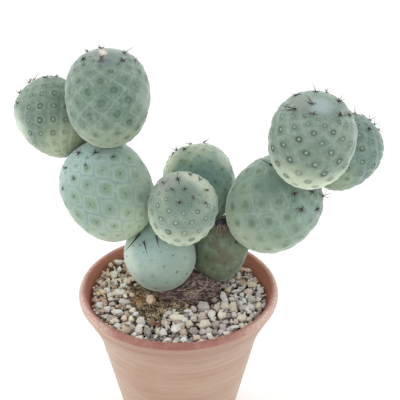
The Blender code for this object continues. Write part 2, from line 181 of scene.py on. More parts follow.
def smooth_piece(piece, degrees):
    """Smooths a piece's light, apart from edges that are sharper than an angle."""
    piece.data.shade_smooth()
    piece.data.set_sharp_from_angle(angle=math.radians(degrees))


def cut_away(piece, cutters):
    """Takes the cutters' shapes out of a piece for good, and removes the cutters."""
    for cutter in cutters:
        cut = piece.modifiers.new("cut", "BOOLEAN")
        cut.operation = "DIFFERENCE"
        cut.solver = "MANIFOLD"
        cut.object = cutter
    bpy.context.view_layer.update()
    whole = piece.evaluated_get(bpy.context.evaluated_depsgraph_get())
    shape = bpy.data.meshes.new_from_object(whole)
    piece.modifiers.clear()
    piece.data = shape
    for cutter in cutters:
        bpy.data.objects.remove(cutter, do_unlink=True)


def start_material(name, roughness):
    """A new material with its shader, and the place on the piece that its pattern reads."""
    material = bpy.data.materials.new(name)
    material.use_nodes = True
    tree = material.node_tree
    shader = tree.nodes["Principled BSDF"]
    shader.inputs["Roughness"].default_value = roughness
    return material, tree, shader, tree.nodes.new("ShaderNodeTexCoord").outputs["Object"]


def stretch(tree, place, scale, centre=(0.0, 0.0, 0.0), turn=(0.0, 0.0, 0.0)):
    """Moves, turns and scales the place that a pattern reads."""
    return add_node(tree, "Mapping", place, centre, turn, scale, vector_type="POINT").outputs[0]


def cloud(tree, place, scale, detail=4.0, roughness=0.55):
    """Soft random clouds from 0 to 1."""
    return add_node(tree, "TexNoise", place, None, scale, detail, roughness).outputs[0]


def wash(tree, colour, where, strength, over):
    """Lays a colour over another as strongly as a strength, and only where a pattern is."""
    return tint(tree, maths(tree, "MULTIPLY", where, strength), colour, over)


def roughen(tree, shader, height, distance, strength=1.0):
    """Raises a pattern out of the surface, too fine for the mesh."""
    bump = tree.nodes.new("ShaderNodeBump")
    bump.inputs["Strength"].default_value = strength
    bump.inputs["Distance"].default_value = distance
    tree.links.new(height, bump.inputs["Height"])
    tree.links.new(bump.outputs[0], shader.inputs["Normal"])


def turn_on_wheel(outline, sides):
    """Turns an outline of radius and height round the pot's axis, from the middle back to the middle."""
    bm = bmesh.new()
    points = [bm.verts.new((radius, 0.0, height)) for radius, height in outline]
    lines = [bm.edges.new(pair) for pair in zip(points, points[1:])]
    bmesh.ops.spin(
        bm, geom=points + lines, cent=(0, 0, 0), axis=(0, 0, 1), angle=math.tau, steps=sides, use_merge=True
    )
    bmesh.ops.remove_doubles(bm, verts=bm.verts, dist=1e-6)
    bmesh.ops.recalc_face_normals(bm, faces=bm.faces)
    return bm


def wall_radius(depth):
    """The outer radius of the wall at a depth under the rim, below the lip."""
    if depth >= SHOULDER_DEPTH:
        return SHOULDER_RADIUS - WALL_SLOPE * (depth - SHOULDER_DEPTH)
    if depth >= BAND_DEPTH:
        share = (SHOULDER_DEPTH - depth) / (SHOULDER_DEPTH - BAND_DEPTH)
        return SHOULDER_RADIUS + (BAND_FOOT_RADIUS - SHOULDER_RADIUS) * share**SHOULDER_HOLLOW
    share = (BAND_DEPTH - depth) / (BAND_DEPTH - LIP_HEIGHT)
    return BAND_FOOT_RADIUS + BAND_STEP + BAND_FLARE * share


def inside_radius(depth):
    """The radius of the pot's inside at a depth under the rim."""
    mouth = RIM_RADIUS - LIP_WIDTH - MOUTH_NARROWING
    under_shoulder = SHOULDER_RADIUS - WALL_THICKNESS
    if depth > SHOULDER_DEPTH:
        return wall_radius(depth) - WALL_THICKNESS
    if depth > MOUTH_DEPTH:
        return mouth + (under_shoulder - mouth) * (depth - MOUTH_DEPTH) / (SHOULDER_DEPTH - MOUTH_DEPTH)
    return RIM_RADIUS - LIP_WIDTH - MOUTH_NARROWING * depth / MOUTH_DEPTH


foot = wall_radius(POT_HEIGHT)
pot_outline = [(0.0, 0.0), (foot - FOOT_ROUNDING, 0.0), (foot, FOOT_ROUNDING)]
for ring in range(1, int((POT_HEIGHT - LIP_HEIGHT - 0.001) / THROWING_STEP)):
    level = FOOT_ROUNDING + ring * THROWING_STEP
    pot_outline.append((wall_radius(POT_HEIGHT - level), level))
pot_outline.append((wall_radius(LIP_HEIGHT), POT_HEIGHT - LIP_HEIGHT - 0.0002))
for degrees in range(-84, 91, 12):
    angle = math.radians(degrees)
    out = RIM_RADIUS - LIP_WIDTH / 2 + LIP_WIDTH / 2 * math.cos(angle)
    pot_outline.append((out, POT_HEIGHT - LIP_HEIGHT / 2 + LIP_HEIGHT / 2 * math.sin(angle)))
pot_outline.append((RIM_RADIUS - LIP_WIDTH + 0.0003, POT_HEIGHT - 0.0001))
pot_outline.append((RIM_RADIUS - LIP_WIDTH, POT_HEIGHT - 0.0005))
for depth in (0.002, 0.004, 0.006, 0.008, 0.012, 0.018, SHOULDER_DEPTH, 0.040, 0.060, POT_HEIGHT - POT_FLOOR):
    pot_outline.append((inside_radius(depth), POT_HEIGHT - depth))
pot_outline.append((0.0, POT_FLOOR))
turned = turn_on_wheel(pot_outline, POT_SIDES)
for vert in turned.verts:
    radius = math.hypot(vert.co.x, vert.co.y)
    depth = POT_HEIGHT - vert.co.z
    if depth < LIP_HEIGHT or radius < wall_radius(depth) - 0.001 or vert.co.z < 0.001:
        continue
    # The lines sink and swell a little on their way round, as the clay drags on the fingers
    drag = Vector((vert.co.x * 9, vert.co.y * 9, vert.co.z * 900))
    strong = 0.5 + 0.5 * noise.noise(Vector((vert.co.x * 12, vert.co.y * 12, vert.co.z * 60 + 5)))
    out = THROWING_DEPTH * noise.noise(drag) * strong
    if depth < BAND_DEPTH:
        out *= 0.4
    vert.co.x *= 1 + out / radius
    vert.co.y *= 1 + out / radius
for face in turned.faces:
    middle = face.calc_center_median()
    radius = math.hypot(middle.x, middle.y)
    inside = radius < inside_radius(POT_HEIGHT - middle.z) + 0.0008 and middle.z > 0.001
    face.material_index = 1 if inside or middle.z > POT_HEIGHT - RED_LIP_HEIGHT else 0

bare_clay, tree, shader, place = start_material("bare_clay_with_lime", 0.88)
shader.inputs["Sheen Weight"].default_value = 0.35
shader.inputs["Sheen Roughness"].default_value = 0.4
# Rings of pale lime and of darker clay follow the throwing lines, and are strongest high on the wall
streaks = cloud(tree, stretch(tree, place, (16.0, 16.0, 1250.0)), 1.0, 2.0, 0.5)
scratches = cloud(tree, stretch(tree, place, (20.0, 20.0, 1900.0)), 1.0, 2.0, 0.5)
blooms = cloud(tree, stretch(tree, place, (1.0, 1.0, 1.8)), 38.0, 5.0, 0.55)
grit = cloud(tree, place, 2200.0, 2.0, 0.6)
colour = tint(tree, ease(tree, blooms, 0.32, 0.70), paint(174, 140, 119), paint(182, 154, 134))
level = add_node(tree, "SeparateXYZ", place).outputs[2]
high_up = maths(tree, "MULTIPLY_ADD", ease(tree, level, 0.020, 0.064), 0.65, 0.35)
pale_lines = maths(tree, "MULTIPLY", ease(tree, scratches, 0.57, 0.64), high_up)
dark_lines = maths(tree, "MULTIPLY", ease(tree, streaks, 0.43, 0.36), high_up)
colour = wash(tree, colour, pale_lines, 0.32, paint(214, 192, 160))
colour = wash(tree, colour, dark_lines, 0.36, paint(142, 102, 86))
band = ease(tree, level, POT_HEIGHT - 0.0200, POT_HEIGHT - 0.0060)
colour = wash(tree, colour, band, 0.50, paint(160, 122, 104))
# Painted highlight makes the lip paler at the pot's two sides
across = maths(tree, "ABSOLUTE", add_node(tree, "SeparateXYZ", place).outputs[0])
lip_side = maths(tree, "MULTIPLY_ADD", ease(tree, across, 0.020, 0.044), 0.40, 0.10)
lip_side = maths(tree, "MULTIPLY", ease(tree, level, POT_HEIGHT - 0.0070, POT_HEIGHT - 0.0030), lip_side)
colour = tint(tree, lip_side, colour, paint(214, 182, 166))
tree.links.new(colour, shader.inputs["Base Color"])
roughen(tree, shader, maths(tree, "MULTIPLY_ADD", grit, 0.15, streaks), 0.00045, 0.7)

red_clay, tree, shader, place = start_material("red_clay_lip", 0.80)
wear = cloud(tree, place, 160.0, 5.0, 0.6)
colour = tint(tree, ease(tree, wear, 0.35, 0.70), paint(150, 98, 88), paint(172, 126, 114))
radius = add_node(tree, "VectorMath", stretch(tree, place, (1.0, 1.0, 0.0)), operation="LENGTH").outputs[1]
# Painted highlight: the lip's outer edge is paler toward the pot's two sides
aside = ease(tree, maths(tree, "ABSOLUTE", add_node(tree, "SeparateXYZ", place).outputs[0]), 0.022, 0.042)
outward = ease(tree, radius, RIM_RADIUS - 0.0029, RIM_RADIUS - 0.0012)
pale_lip_sides = maths(tree, "MULTIPLY", aside, outward)
colour = wash(tree, colour, pale_lip_sides, 0.62, paint(216, 186, 174))
# Lime has crusted these pale places, and the edge toward the gravel has stayed warm in colour
crust = ease(tree, cloud(tree, place, 700.0, 4.0, 0.7), 0.50, 0.60)
colour = wash(tree, colour, maths(tree, "MULTIPLY", pale_lip_sides, crust), 0.45, paint(236, 224, 212))
inward = ease(tree, radius, RIM_RADIUS - 0.0028, RIM_RADIUS - 0.0031)
colour = wash(tree, colour, inward, 0.9, paint(182, 118, 96))
tree.links.new(colour, shader.inputs["Base Color"])
roughen(tree, shader, cloud(tree, place, 900.0, 3.0), 0.0002, 0.4)

pot = start_piece("turned_pot", turned, bare_clay, red_clay)
drills = []
for hole in range(DRAIN_HOLES):
    drill = bmesh.new()
    bmesh.ops.create_cone(
        drill, cap_ends=True, segments=24, radius1=DRAIN_HOLE_RADIUS, radius2=DRAIN_HOLE_RADIUS, depth=0.02
    )
    angle = math.tau * hole / DRAIN_HOLES
    spot = (DRAIN_HOLE_PLACE * math.cos(angle), DRAIN_HOLE_PLACE * math.sin(angle), 0.0)
    bmesh.ops.translate(drill, verts=drill.verts, vec=spot)
    drills.append(start_piece("drill", drill))
cut_away(pot, drills)
smooth_piece(pot, 40)
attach(pot, "root")
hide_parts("pot")


# The soil that fills the pot keeps its CAD shape. It is dark bark and peat. Where the gravel leaves it bare,
# beside the trunk, it is covered by loose crumbs, grit and a little dry moss, and by thin dead roots.
soil_stuff, tree, shader, place = start_material("soil", 0.95)
lumps = cloud(tree, place, 420.0, 6.0, 0.65)
colour = tint(tree, ease(tree, lumps, 0.35, 0.68), paint(46, 34, 26), paint(116, 92, 70))
moss = ease(tree, cloud(tree, place, 150.0, 4.0), 0.50, 0.62)
colour = wash(tree, colour, moss, 0.6, paint(112, 112, 84))
tree.links.new(colour, shader.inputs["Base Color"])
roughen(tree, shader, lumps, 0.0015)
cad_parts["soil"].data.materials.clear()
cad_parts["soil"].data.materials.append(soil_stuff)

GOLDEN_TURN = 2.39996


def speckled_stuff(name, roughness, layer, fineness, strength, speck_colour, knobs=0.0):
    """Matter whose lumps each have their own colour, from a layer of the mesh, under fine dark specks."""
    stuff, tree, shader, place = start_material(name, roughness)
    own = add_node(tree, "Attribute", attribute_name=layer).outputs[0]
    specks = cloud(tree, place, fineness, 3.0, 0.7)
    colour = wash(tree, own, ease(tree, specks, 0.5, 0.3), strength, speck_colour)
    tree.links.new(colour, shader.inputs["Base Color"])
    if knobs > 0.0:
        roughen(tree, shader, specks, knobs)
    return stuff


def knock_stone(bm, colours, middle, half, colour, corners, draw, swing=math.pi, roll=0.7):
    """A small angular lump: the hull of a few corners scattered over an egg."""
    heading = Matrix.Rotation(draw.uniform(-swing, swing), 3, "Z")
    tilt = Matrix.Rotation(draw.uniform(-roll, roll), 3, "X")
    found = []
    for step in range(corners):
        # The corners go round a spiral from end to end, each knocked in or out a little
        up = 1 - 2 * (step + 0.5) / corners
        round_it = step * GOLDEN_TURN + draw.uniform(-0.35, 0.35)
        across = math.sqrt(1 - up * up)
        flat = (across * math.cos(round_it) * half[0], across * math.sin(round_it) * half[1])
        corner = Vector((*flat, up * half[2]))
        found.append(bm.verts.new(heading @ tilt @ (corner * draw.uniform(0.80, 1.12)) + middle))
    for corner in found:
        # Painted shade darkens a lump toward its underside, and painted light brightens its top a little
        share = max(-1.0, min(1.0, (corner.co.z - middle[2]) / half[2]))
        light = 1.0 + (0.20 if share > 0.0 else 0.65) * share
        corner[colours] = tuple(min(0.95, number * light) for number in colour[:3]) + (1.0,)
    hull = bmesh.ops.convex_hull(bm, input=found)
    bmesh.ops.delete(bm, geom=list(set(hull["geom_interior"])), context="VERTS")


# Where the soil is bare round the trunk: the middles and half widths of two ovals
bare_patches = (((0.0050, 0.0065), (0.0186, 0.0146)), ((-0.0045, -0.0035), (0.0110, 0.0095)))
CRUMB_LEVEL = POT_HEIGHT - 0.0078
trunk_middle = Vector((0.005, 0.0070, POT_HEIGHT - 0.0080))
trunk_half = Vector((0.0160, 0.0115, 0.0105))
# The bare soil left of the trunk, as a ring of corners in mm from the middle of the rim
left_patch = (
    (-24.9, 12.4), (-16.6, 12.4), (-9.1, 6.4), (-6.3, -11.9), (-8.5, -18.4), (-15.0, -16.8), (-22.5, -6.2),
)


def on_left_patch(x, y):
    """True inside the ring of the left patch, told by how often a line to the right crosses it."""
    inside = False
    for (x1, y1), (x2, y2) in zip(left_patch, left_patch[1:] + left_patch[:1]):
        if (y1 > y * 1000) != (y2 > y * 1000) and x * 1000 < x1 + (x2 - x1) * (y * 1000 - y1) / (y2 - y1):
            inside = not inside
    return inside


def share_out(x, y, middle, half):
    """How far a place lies from the middle of an oval. At its edge the share is 1."""
    return math.hypot((x - middle[0]) / half[0], (y - middle[1]) / half[1])


CRUMBS_BY_TRUNK = 360
CRUMBS_ON_PATCH = 620
HEAP_HEIGHT = 0.0020
draw = random.Random(5)
crumbs = bmesh.new()
crumb_colours = crumbs.verts.layers.float_color.new("stone_colour")
# A low mound of packed soil lies under the crumbs of the left patch
bmesh.ops.create_uvsphere(crumbs, u_segments=72, v_segments=36, radius=1.0)
bmesh.ops.scale(crumbs, verts=crumbs.verts, vec=(0.0088, 0.0158, 0.0030))
bmesh.ops.rotate(crumbs, verts=crumbs.verts, cent=(0, 0, 0), matrix=Matrix.Rotation(math.radians(20), 3, "Z"))
bmesh.ops.translate(crumbs, verts=crumbs.verts, vec=(-0.0155, -0.0030, POT_HEIGHT - 0.0100))
for vert in crumbs.verts:
    vert.co.z += 0.0006 * noise.noise(vert.co * 450)
    vert[crumb_colours] = paint(40, 30, 24)
crumb_tints = (
    paint(70, 54, 44), paint(122, 100, 78), paint(206, 180, 142), paint(34, 26, 22), paint(190, 178, 156),
    paint(90, 72, 58),
)
moss_tints = (paint(120, 120, 84), paint(150, 144, 110), paint(76, 76, 52), paint(40, 32, 26))
flake_tints = (paint(200, 134, 78), paint(156, 98, 56), paint(212, 168, 116))
crumb_spots = []
while len(crumb_spots) < CRUMBS_BY_TRUNK:
    middle, half = bare_patches[draw.randrange(2)]
    angle, reach = draw.uniform(0, math.tau), math.sqrt(draw.random()) * 1.1
    x = middle[0] + half[0] * reach * math.cos(angle)
    y = middle[1] + half[1] * reach * math.sin(angle)
    on_trunk = share_out(x, y, trunk_middle, trunk_half)
    if on_trunk > 1.0:
        crumb_spots.append((x, y, max(0.0, 1.35 - on_trunk)))
for x, y, heap in crumb_spots:
    size = draw.uniform(0.0004, 0.0012)
    level = CRUMB_LEVEL + heap * HEAP_HEIGHT + draw.uniform(-0.0002, 0.0006)
    half = (size, size * draw.uniform(0.6, 0.9), size * draw.uniform(0.5, 0.8))
    knock_stone(crumbs, crumb_colours, Vector((x, y, level)), half, draw.choice(crumb_tints), 10, draw)
patch_spots = []
while len(patch_spots) < CRUMBS_ON_PATCH:
    x, y = draw.uniform(-0.025, -0.006), draw.uniform(-0.0185, 0.0125)
    if on_left_patch(x, y):
        patch_spots.append((x, y, draw.uniform(0.0, 0.6)))
for x, y, heap in patch_spots:
    size = draw.uniform(0.0004, 0.0011) * draw.choice((1.0, 1.0, 1.7))
    level = POT_HEIGHT - 0.0076 + draw.uniform(-0.0009, 0.0009)
    half = (size, size * draw.uniform(0.6, 0.9), size * draw.uniform(0.4, 0.8))
    mossy = noise.noise(Vector((x * 260, y * 260, 4.0))) > 0.30 + 30 * (y + 0.008)
    flaky = math.hypot(x + 0.0190, (y + 0.0005) * 0.6) < 0.0034
    tints = flake_tints if flaky and draw.random() < 0.6 else (moss_tints if mossy else crumb_tints)
    knock_stone(crumbs, crumb_colours, Vector((x, y, level)), half, draw.choice(tints), 10, draw)
crumb_stuff = speckled_stuff(
    "soil_crumbs", 0.95, "stone_colour", 1500.0, 0.45, paint(40, 30, 24), knobs=0.0004
)
soil_crumbs = start_piece("soil_crumbs", crumbs, crumb_stuff)
smooth_piece(soil_crumbs, 40)
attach(soil_crumbs, "root")

root_stuff, tree, shader, place = start_material("dead_roots", 0.85)
straw = ease(tree, cloud(tree, place, 300.0), 0.35, 0.60)
colour = tint(tree, straw, paint(66, 48, 38), paint(204, 182, 146))
tree.links.new(colour, shader.inputs["Base Color"])


def lay_fibre(bm, points, radius, sides=4):
    """A thin strand that follows its points and thins out at its end."""
    ring = bmesh.ops.create_circle(bm, cap_ends=True, segments=sides, radius=radius)["verts"]
    aim = (points[1] - points[0]).to_track_quat("Z", "Y").to_matrix().to_4x4()
    bmesh.ops.transform(bm, matrix=Matrix.Translation(points[0]) @ aim, verts=ring)
    bm.faces.ensure_lookup_table()
    cap = bm.faces[-1]
    heading = (points[1] - points[0]).normalized()
    for step, (start, end) in enumerate(zip(points, points[1:])):
        moved = bmesh.ops.extrude_discrete_faces(bm, faces=[cap])["faces"]
        cap = moved[0]
        way = (end - start).normalized()
        turn = heading.rotation_difference(way).to_matrix().to_4x4()
        heading = way
        corners = list(cap.verts)
        bmesh.ops.translate(bm, verts=corners, vec=end - start)
        thin = 1.0 - 0.7 / (len(points) - step)
        here = Matrix.Translation(end)
        bmesh.ops.transform(
            bm, matrix=here @ turn @ Matrix.Scale(thin, 4) @ here.inverted(), verts=corners
        )


DEAD_ROOTS = 210
ROOTS_BY_TRUNK = 60
fibres = bmesh.new()
for strand in range(DEAD_ROOTS):
    x, y, heap = draw.choice(crumb_spots if strand < ROOTS_BY_TRUNK else patch_spots)
    points = [Vector((x, y, POT_HEIGHT - 0.0072 + heap * HEAP_HEIGHT))]
    way = draw.uniform(0, math.tau)
    for step in range(4):
        way += draw.uniform(-0.6, 0.6)
        rise = (0.0006, 0.0003, -0.0002, -0.0008)[step] * draw.uniform(0.4, 1.4)
        stride = draw.uniform(0.0010, 0.0026)
        points.append(points[-1] + Vector((stride * math.cos(way), stride * math.sin(way), rise)))
    lay_fibre(fibres, points, draw.uniform(0.00010, 0.00022))
bmesh.ops.recalc_face_normals(fibres, faces=fibres.faces)
dead_roots = start_piece("dead_roots", fibres, root_stuff)
smooth_piece(dead_roots, 60)
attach(dead_roots, "root")


# The top dressing is loose pumice and grit of mixed colours, poured in and levelled about six millimetres
# under the rim. Larger pale pumice lies in front and on the right, and browner grit at the back and left.
grit_stuff, tree, shader, place = start_material("pumice_and_grit", 0.92)
own = add_node(tree, "Attribute", attribute_name="stone_colour").outputs[0]
pores = cloud(tree, place, 1300.0, 4.0, 0.7)
dust = cloud(tree, place, 260.0, 3.0)
colour = wash(tree, own, ease(tree, pores, 0.46, 0.30), 0.40, paint(110, 92, 76))
colour = wash(tree, colour, ease(tree, dust, 0.46, 0.66), 0.30, paint(250, 244, 232))
tree.links.new(colour, shader.inputs["Base Color"])
roughen(tree, shader, pores, 0.0009)

BED_DEPTH = 0.0095
BED_TOP = POT_HEIGHT - BED_DEPTH
BED_UNDERSIDE = 0.0107
BED_RADIUS = 0.0385
bed_outline = [(0.0, POT_HEIGHT - BED_UNDERSIDE)]
bed_outline += [(inside_radius(depth) - 0.0004, POT_HEIGHT - depth) for depth in (BED_UNDERSIDE, BED_DEPTH)]
bed_outline += [(BED_RADIUS * (1 - step / 24), BED_TOP) for step in range(25)]
bed = turn_on_wheel(bed_outline, 96)
for vert in bed.verts:
    if vert.co.z > BED_TOP - 1e-5:
        vert.co.z += 0.0006 * noise.noise(vert.co * 500)
stone_colours = bed.verts.layers.float_color.new("stone_colour")
for vert in bed.verts:
    vert[stone_colours] = paint(62, 50, 42)
gravel = start_piece("gravel_stones", bed, grit_stuff)
mounds = []
for middle, half in bare_patches:
    mound = bmesh.new()
    bmesh.ops.create_cone(mound, cap_ends=True, segments=48, radius1=1.0, radius2=1.0, depth=0.02)
    bmesh.ops.scale(mound, verts=mound.verts, vec=(half[0], half[1], 1.0))
    bmesh.ops.translate(mound, verts=mound.verts, vec=(middle[0], middle[1], POT_HEIGHT - 0.010))
    mounds.append(start_piece("mound", mound))
cut_away(gravel, mounds)


# The outline of the stems' eggs: a fullness of 2 would be an ellipse, and they are wider toward the tip
EGG_FULLNESS = 2.2
HEAVY_TIP = 0.06


class Segment:
    """Where a stem segment stands, how it leans, its egg shape, and the two families of diagonal rows that
    its areoles lie on. A family is how many rows it has, how fast they climb, and where the first one is.
    """

    def __init__(self, centre_mm, heading, tilt, length_mm, width_mm, sides, row_step, phase, first, second):
        self.centre = Vector(centre_mm) / 1000 + RIM_MIDDLE
        lean = Matrix.Rotation(math.radians(tilt), 3, "Y")
        heading_turn = Matrix.Rotation(math.radians(heading), 3, "Z")
        self.turn = heading_turn @ lean @ heading_turn.transposed()
        self.half_length = length_mm / 2000
        self.half_width = width_mm / 2000
        self.sides = sides
        self.row_step = row_step
        self.phase = math.radians(phase)
        self.last_row = int(1.62 / row_step)
        self.first = first
        self.second = second

    def radius_at(self, along):
        """The egg's radius at a share of its half length, from -1 at the joint to 1 at the tip."""
        oval = max(0.0, 1.0 - abs(along) ** EGG_FULLNESS) ** (1 / EGG_FULLNESS)
        return self.half_width * oval * (1.0 + HEAVY_TIP * along)

    def along_at(self, row):
        """How far along the axis a row lies, from -1 to 1. Past its last row the egg closes evenly."""
        along = math.tanh(self.row_step * min(abs(row), self.last_row))
        if abs(row) > self.last_row:
            last = math.asin(along)
            along = math.sin(last + (math.pi / 2 - last) * min(1.0, abs(row) - self.last_row))
        return math.copysign(along, row)

    def on_egg(self, along, heading):
        """A place on the smooth egg, about the egg's own middle."""
        radius = self.radius_at(along)
        return Vector((radius * math.cos(heading), radius * math.sin(heading), self.half_length * along))

    def rows_at(self, along, heading):
        """How many rows of each family lie between a place and the family's first row."""
        climb = math.atanh(max(-0.985, min(0.985, along)))
        return (
            (self.first[0] * heading + self.first[1] * climb - self.first[2]) / math.tau,
            (self.second[0] * heading - self.second[1] * climb - self.second[2]) / math.tau,
        )

    def crossing(self, first_row, second_row):
        """Where two rows cross: how far along the axis and at which heading."""
        first = first_row * math.tau + self.first[2]
        second = second_row * math.tau + self.second[2]
        twist = self.first[0] * self.second[1] + self.second[0] * self.first[1]
        heading = (self.second[1] * first + self.first[1] * second) / twist
        climb = (self.second[0] * first - self.first[0] * second) / twist
        return math.tanh(climb), heading

    def to_world(self, local):
        """A place in the scene, from one about the egg's own middle and axis."""
        return self.centre + self.turn @ local

    def distance_outside(self, point):
        """About how far a point of the scene lies outside the egg, below zero inside it."""
        local = self.turn.transposed() @ (point - self.centre)
        along = local.z / self.half_length
        wide = self.half_width * (1.0 + HEAVY_TIP * max(-1.0, min(1.0, along)))
        across = math.hypot(local.x, local.y) / wide
        share = (abs(along) ** EGG_FULLNESS + across**EGG_FULLNESS) ** (1 / EGG_FULLNESS)
        return (1.0 - 1.0 / max(share, 1e-6)) * local.length


# Each one's middle in mm from the rim's middle, which way it leans and how far, its length and width in mm,
# the columns and the step of the rows that its skin is counted in, where they start, and its two families
SEGMENTS = {
    "left_base": Segment(
        (-8.6, 6.9, 13.1), 206, 17, 33.0, 33.8, 20, 0.27, 8, (11, 9.25, 1.15), (7, 12.1, -1.54)
    ),
    "right_base": Segment(
        (19.8, 18.1, 10.2), 13, 15, 34.0, 27.0, 18, 0.30, 0, (9, 10.5, 0.0), (9, 10.5, 0.0)
    ),
    "left_middle": Segment(
        (-32.9, 15.3, 43.9), 153, 31, 49.2, 42.0, 20, 0.26, 0, (10, 12.75, 1.91), (15, 5.35, -2.58)
    ),
    "front": Segment(
        (2.1, -1.1, 43.6), 317, 13, 34.2, 31.6, 24, 0.28, -12, (12, 12.0, 0.66), (15, 6.8, 3.04)
    ),
    "left_top": Segment(
        (-31.8, 20.1, 89.8), 90, 11, 45.4, 38.4, 20, 0.25, -13, (9, 13.7, -0.5), (11, 11.65, -0.46)
    ),
    "left_outer": Segment(
        (-58.6, 37.8, 71.1), 146, 49, 40.2, 33.8, 24, 0.22, -8, (10, 15.55, 2.5), (13, 13.45, 2.25)
    ),
    "back": Segment(
        (10.0, 35.1, 36.6), 108, 37, 39.0, 34.6, 22, 0.27, 0, (10, 12.2, 0.5), (12, 11.0, 1.0)
    ),
    "right_middle": Segment(
        (44.6, 12.9, 37.5), 352, 35, 47.8, 42.8, 24, 0.25, 0, (7, 15.25, 1.96), (12, 10.5, 1.99)
    ),
    "right_top": Segment(
        (60.1, 0.7, 78.0), 305, 12, 45.2, 38.8, 22, 0.27, -15, (10, 10.7, -2.07), (12, 13.55, -1.22)
    ),
    "right_outer": Segment(
        (78.3, 29.0, 57.1), 35, 57, 38.4, 33.2, 20, 0.23, -10, (9, 12.65, 1.17), (8, 18.95, -2.53)
    ),
}

# The colours that the poured stones are picked from, by kind
pale_pumice = (
    (248, 239, 226), (236, 227, 216), (224, 215, 206), (242, 229, 214), (212, 204, 196), (252, 246, 238),
    (232, 223, 216),
)
brown_grit = (
    (236, 216, 192), (204, 178, 152), (220, 203, 186), (174, 150, 128), (228, 206, 180), (190, 162, 140),
)
odd_stones = ((172, 164, 160), (206, 194, 176), (198, 178, 166), (140, 128, 118))
stone_tints = {
    "grey": (194, 190, 182), "tan": (206, 184, 156), "cream": (234, 225, 205), "pink": (226, 204, 194),
    "ash": (184, 178, 170), "butter": (234, 220, 188), "slate": (154, 150, 148), "peach": (230, 202, 178),
    "white": (242, 237, 228), "umber": (138, 102, 80), "mauve": (190, 177, 180),
}
